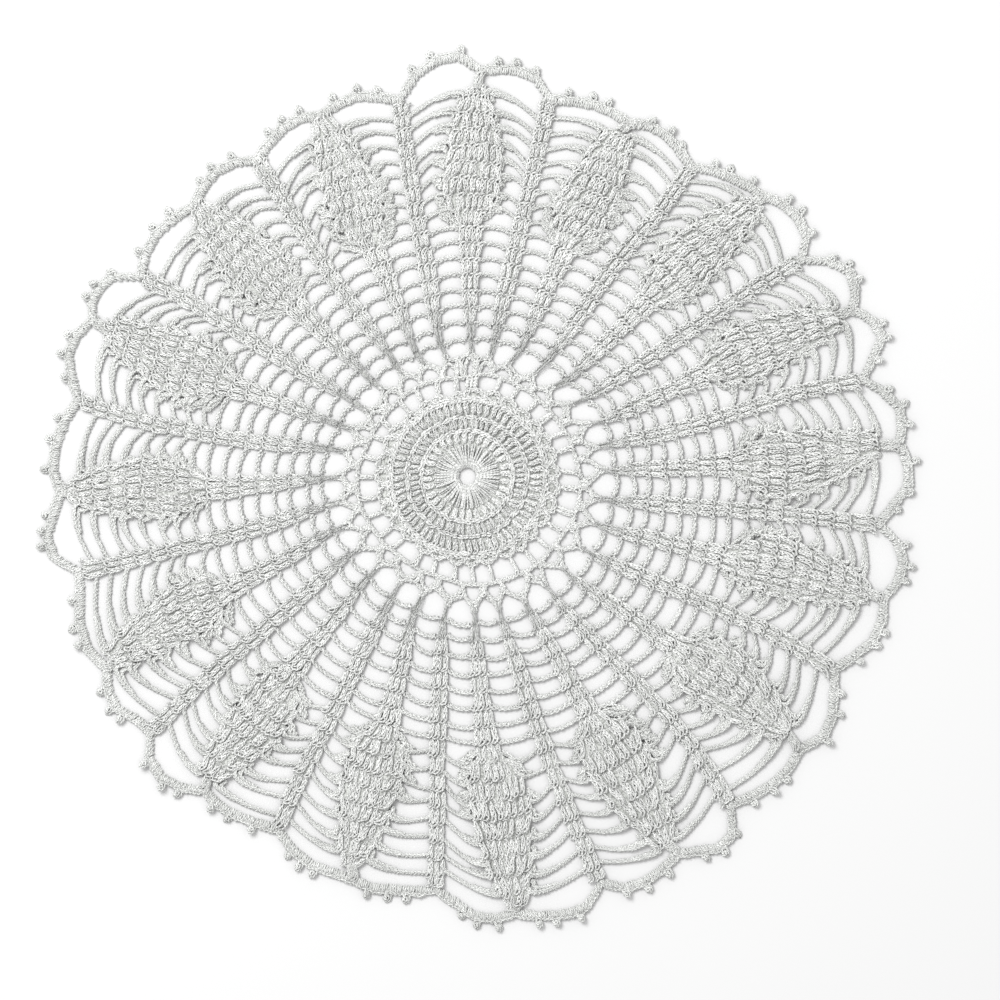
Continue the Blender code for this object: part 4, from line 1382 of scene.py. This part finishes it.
picotRows = (
    (7.0, 9.5, 11.8, 16.0, 18.5, 20.3),
    (26.7, 29.0, 31.0, 35.3, 38.5, 40.5),
    (45.6, 49.2, 51.2, 56.6, 59.2, 62.5),
    (69.0, 71.3, 74.7, 80.0, 82.8, 85.3),
    (90.5, 94.7, 97.2, 102.6, 105.8, 109.2),
    (114.5, 117.3, 119.5, 126.0, 129.3, 131.8),
    (138.4, 141.3, 145.4, 150.0, 152.0, 154.2),
    (160.0, 162.8, 166.0, 171.6, 174.6, 178.6),
    (185.0, 187.2, 189.2, 197.3, 200.8, 203.5),
    (210.5, 212.8, 214.8, 221.7, 225.2, 227.5),
    (232.2, 235.3, 238.7, 244.8, 246.9, 249.0),
    (256.6, 259.5, 262.0, 269.3, 271.4, 274.0),
    (279.3, 281.4, 284.7, 290.9, 294.0, 297.2),
    (302.3, 304.8, 307.2, 311.7, 314.6, 316.8),
    (324.0, 327.5, 330.1, 335.2, 337.7, 339.8),
    (346.7, 348.8, 351.2, 355.8, 358.0, 362.0),
)
picots = [dict(zip(picotColumns, row)) for row in picotRows]


def archShare(arch, angle):
    start = archJoin(arch)[0]
    return (angle - start) / (archJoin(arch + 1)[0] - start)


def picotAngles(arch):
    names = picotColumns[:3] if isLeaf(arch) else picotColumns[3:]
    return [rowOf(picots, arch)[name] for name in names]


rimRuns = newRuns(111)
path = []
for arch in range(spokes):
    for share in np.linspace(0.0, 1.0, edging["chainPoints"], endpoint=False):
        radius = archRadius(arch, share) - edging["chainIn"]
        radius += rimRuns["random"].normal(0.0, edging["uneven"])
        path.append(place(radius, archAngle(arch, share), heights["band"]))
addRun(rimRuns, path, *edging["chain"], closed=True)
picotBag = newBag(112)
linkBag = newBag(113)
bandBag = newBag(115)
for arch in range(spokes):
    ends = [place(archRadius(arch, share), archAngle(arch, share), 0.0)
            for share in np.linspace(0.0, 1.0, edging["lengthPoints"])]
    length = sum(np.linalg.norm(b - a) for a, b in zip(ends[:-1], ends[1:]))
    count = int(round(length / edging["stitchPitch"]))
    for i in range(count):
        share = (i + 0.5) / count
        radius, angle = archRadius(arch, share), archAngle(arch, share)
        low = place(radius - edging["stitchFrom"], angle, heights["band"])
        high = place(radius - edging["stitchTo"], angle, heights["band"] + edging["stitchRise"])
        addStitch(bandBag, low, high, upright, edging["stitchPitch"], *edging["stitch"])
    for angle in picotAngles(arch):
        radius = archRadius(arch, archShare(arch, angle))
        low, high = [place(radius + edging[name], angle, heights["band"] + rise)
                     for name, rise in zip(("picotFrom", "picotTo"), edging["picotRise"])]
        addStitch(picotBag, low, high, upright, *edging["picot"])
    if not isLeaf(arch):
        continue
    row = rowOf(rim, arch)
    lowRadius = row["tip"] - edging["linkLap"]
    highRadius = row["join"] - edging["width"] + edging["linkLap"]
    if highRadius - lowRadius <= edging["shortestLink"]:
        continue
    for offset in edging["linkPosts"]:
        low, high = [place(radius, row[name] + math.degrees(offset / radius), heights["spoke"])
                     for radius, name in ((lowRadius, "tipAt"), (highRadius, "joinAt"))]
        addStitch(linkBag, low, high, upright, *edging["link"])
bandOptions = {**plaitOptions, "Spacing": edging["spacing"]}
# the edging takes the edge's darker copy of the cotton: painted shade
layPlaits("edgingBand", rimRuns, {**bandOptions, "Seed": 20}, cottonEdgeDarkerForShade)
layStitches("edgingStitches", bandBag, "wrap", {**leafOptions, "Seed": 24, "Tilt": 0.1}, cottonEdgeDarkerForShade)
layStitches("edgingPicots", picotBag, "nub", {**postOptions, "Seed": 21, "Tilt": 0.4}, cottonEdgeDarkerForShade)
layStitches("tipLinks", linkBag, "post", {**postOptions, "Seed": 22}, cottonEdgeDarkerForShade)
for holder in pathObjects.values():
    bpy.data.objects.remove(holder)
print("laid the edging")

# The ground of the cloth: a thin sheet under the stitches, strip by strip. Its mid grey is painted shade
# in the slits between stitches.
ground = {
    "below": 0.50,
    "above": -0.22,
    # across (0 to 1) and up (-1 to 1) round the strip's section
    "section": (
        (0.0, 0.0), (0.06, 0.85), (0.3, 1.0), (0.7, 1.0), (0.94, 0.85),
        (1.0, 0.0), (0.94, -0.85), (0.3, -1.0), (0.06, -0.85),
    ),
    "eye": 3.3,
    "discPoints": 96,
    "discDeep": 0.2,
    "spokeFrom": 2.5,  # over the hole at the spoke's foot
    "spokeStep": 2.0,
    "spokeHalf": 1.15,  # for each millimetre of a post's width
    "spokeFoot": (0.45, 1.0),  # share of that before the first rung and after it
    "footLong": (3.0, 1.0),
    "intoLeaf": 1.0,
    "intoBand": 1.5,
    "leafFrom": 0.5,
    "leafStep": 1.2,
    "leafInset": 1.1,
    "leastHalf": 0.8,
    "leafBands": 6,
    "bandOverlap": 0.25,
    "rimPoints": 16,  # in each arch
    "rimInner": 2.4,
    "rimOuter": 0.9,
}


# Each line holds the left and right places of one step and the height of its middle.
def addStrip(verts, faces, lines, closed=False):
    start = len(verts)
    section = ground["section"]
    sides = len(section)
    count = len(lines)
    middle = 0.5 * (ground["above"] - ground["below"])
    half = 0.5 * (ground["above"] + ground["below"])
    for left, right, mid in lines:
        for across, up in section:
            point = left * (1.0 - across) + right * across
            point[2] = mid + middle + up * half
            verts.append(tuple(point * mm))
    steps = count if closed else count - 1
    for i in range(steps):
        first = start + i * sides
        second = start + ((i + 1) % count) * sides
        for k in range(sides):
            after = (k + 1) % sides
            faces.append((first + k, first + after, second + after, second + k))
    if not closed:
        faces.append(tuple(start + k for k in reversed(range(sides))))
        faces.append(tuple(start + (count - 1) * sides + k for k in range(sides)))


verts, faces = [], []
discMid = heights["disc"] - ground["discDeep"]
addStrip(verts, faces, roundPath(ground["discPoints"], lambda angle: (
    place(ground["eye"], angle, 0.0), spot(rimLine(angle), angle, 0.0), discMid)), closed=True)
for spoke in range(spokes):
    first = ringRadius(spoke, 1)
    if isLeaf(spoke):
        end = ringRadius(spoke, cloth["rungs"]) + ground["intoLeaf"]
    else:
        end = rowOf(rim, spoke)["plainJoin"] - ground["intoBand"]
    foot = (first - ground["footLong"][0], first + ground["footLong"][1])
    lines = []
    for radius in np.arange(loopOf(spoke)["top"] + ground["spokeFrom"], end, ground["spokeStep"]):
        share = float(np.interp(radius, foot, ground["spokeFoot"]))
        swing = math.degrees(ground["spokeHalf"] * postWidth(radius) * share / radius)
        angle = wayAngle(spoke, radius)
        lines.append((place(radius, angle + swing, 0.0), place(radius, angle - swing, 0.0),
                      heights["spoke"]))
    addStrip(verts, faces, lines)
    if not isLeaf(spoke):
        continue
    radii = np.arange(ringRadius(spoke, cloth["rungs"]) + ground["leafFrom"],
                      rowOf(rim, spoke)["tip"], ground["leafStep"])
    bands = ground["leafBands"]
    for band in range(bands):
        low = 2.0 * band / bands - 1.0
        high = 2.0 * (band + 1) / bands - 1.0
        side = 1.0 if low + high > 0.0 else -1.0
        lines = []
        for radius in radii:
            half = max(leafHalf(spoke, radius, side) - ground["leafInset"], ground["leastHalf"])
            angle = spokeAngle(spoke, radius)
            swing = math.degrees(half / radius)
            lap = ground["bandOverlap"] / half
            lines.append((place(radius, angle + (high + lap) * swing, 0.0),
                          place(radius, angle + (low - lap) * swing, 0.0),
                          leafMid(spoke, radius, 0.5 * (low + high))))
        addStrip(verts, faces, lines)
lines = []
for arch in range(spokes):
    for share in np.linspace(0.0, 1.0, ground["rimPoints"], endpoint=False):
        radius, angle = archRadius(arch, share), archAngle(arch, share)
        lines.append((place(radius - ground["rimInner"], angle, 0.0),
                      place(radius - ground["rimOuter"], angle, 0.0), heights["band"]))
addStrip(verts, faces, lines, closed=True)
groundMesh = bpy.data.meshes.new("clothGround")
groundMesh.from_pydata(verts, [], faces)
# the ground's material is mid grey: painted shade
groundMesh.materials.append(groundPaintedShade)
groundMesh.polygons.foreach_set("use_smooth", [True] * len(groundMesh.polygons))
clothGround = addObject("clothGround", groundMesh)
print("made the ground")

# The floor, the light and the camera.
studio = {
    "floorSize": 12.0,
    "floorColour": (0.53, 0.53, 0.53),
    "floorRoughness": 0.9,
    "floorGloss": 0.1,
    "distance": 1.5,
    "width": 0.318,
    "lookAt": (7.09, -4.02),
    "sensor": 36.0,
    "nearest": 0.05,
    "worldStrength": 1.11,
    "keyPower": 18.5,
    "keySize": 0.68,
    "keyPlace": (-0.51, 0.535, 1.07),
}
floorMesh = bpy.data.meshes.new("floor")
reach = 0.5 * studio["floorSize"]
corners = [(-reach, -reach, 0.0), (reach, -reach, 0.0), (reach, reach, 0.0), (-reach, reach, 0.0)]
floorMesh.from_pydata(corners, [], [(0, 1, 2, 3)])
floor = addObject("floor", floorMesh)
paper = bpy.data.materials.new("paleFloor")
paper.use_nodes = True
paperShader = paper.node_tree.nodes["Principled BSDF"]
paperShader.inputs["Base Color"].default_value = (*studio["floorColour"], 1.0)
paperShader.inputs["Roughness"].default_value = studio["floorRoughness"]
paperShader.inputs["Specular IOR Level"].default_value = studio["floorGloss"]
floorMesh.materials.append(paper)

world = bpy.data.worlds.new("softStudio")
world.use_nodes = True
sky = world.node_tree.nodes["Background"]
sky.inputs["Color"].default_value = (1.0, 1.0, 1.0, 1.0)
sky.inputs["Strength"].default_value = studio["worldStrength"]
bpy.context.scene.world = world
bpy.context.scene.view_settings.view_transform = "Standard"

key = bpy.data.lights.new("softKey", "AREA")
key.shape = "DISK"
key.size = studio["keySize"]
key.energy = studio["keyPower"]
keyHolder = addObject("softKey", key)
keyHolder.location = studio["keyPlace"]
keyHolder.rotation_euler = keyHolder.location.to_track_quat("Z", "Y").to_euler()

camera = bpy.data.cameras.new("camera")
camera.sensor_width = studio["sensor"]
camera.lens = camera.sensor_width * studio["distance"] / studio["width"]
camera.clip_start = studio["nearest"]
cameraHolder = addObject("camera", camera)
cameraHolder.location = (studio["lookAt"][0] * mm, studio["lookAt"][1] * mm, studio["distance"])
bpy.context.scene.camera = cameraHolder
print("set the studio")

for piece in pieces + [clothGround]:
    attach(piece, "root")
    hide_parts("doily")

print("triangles", sum(countTriangles(piece.data) for piece in pieces + [clothGround]))
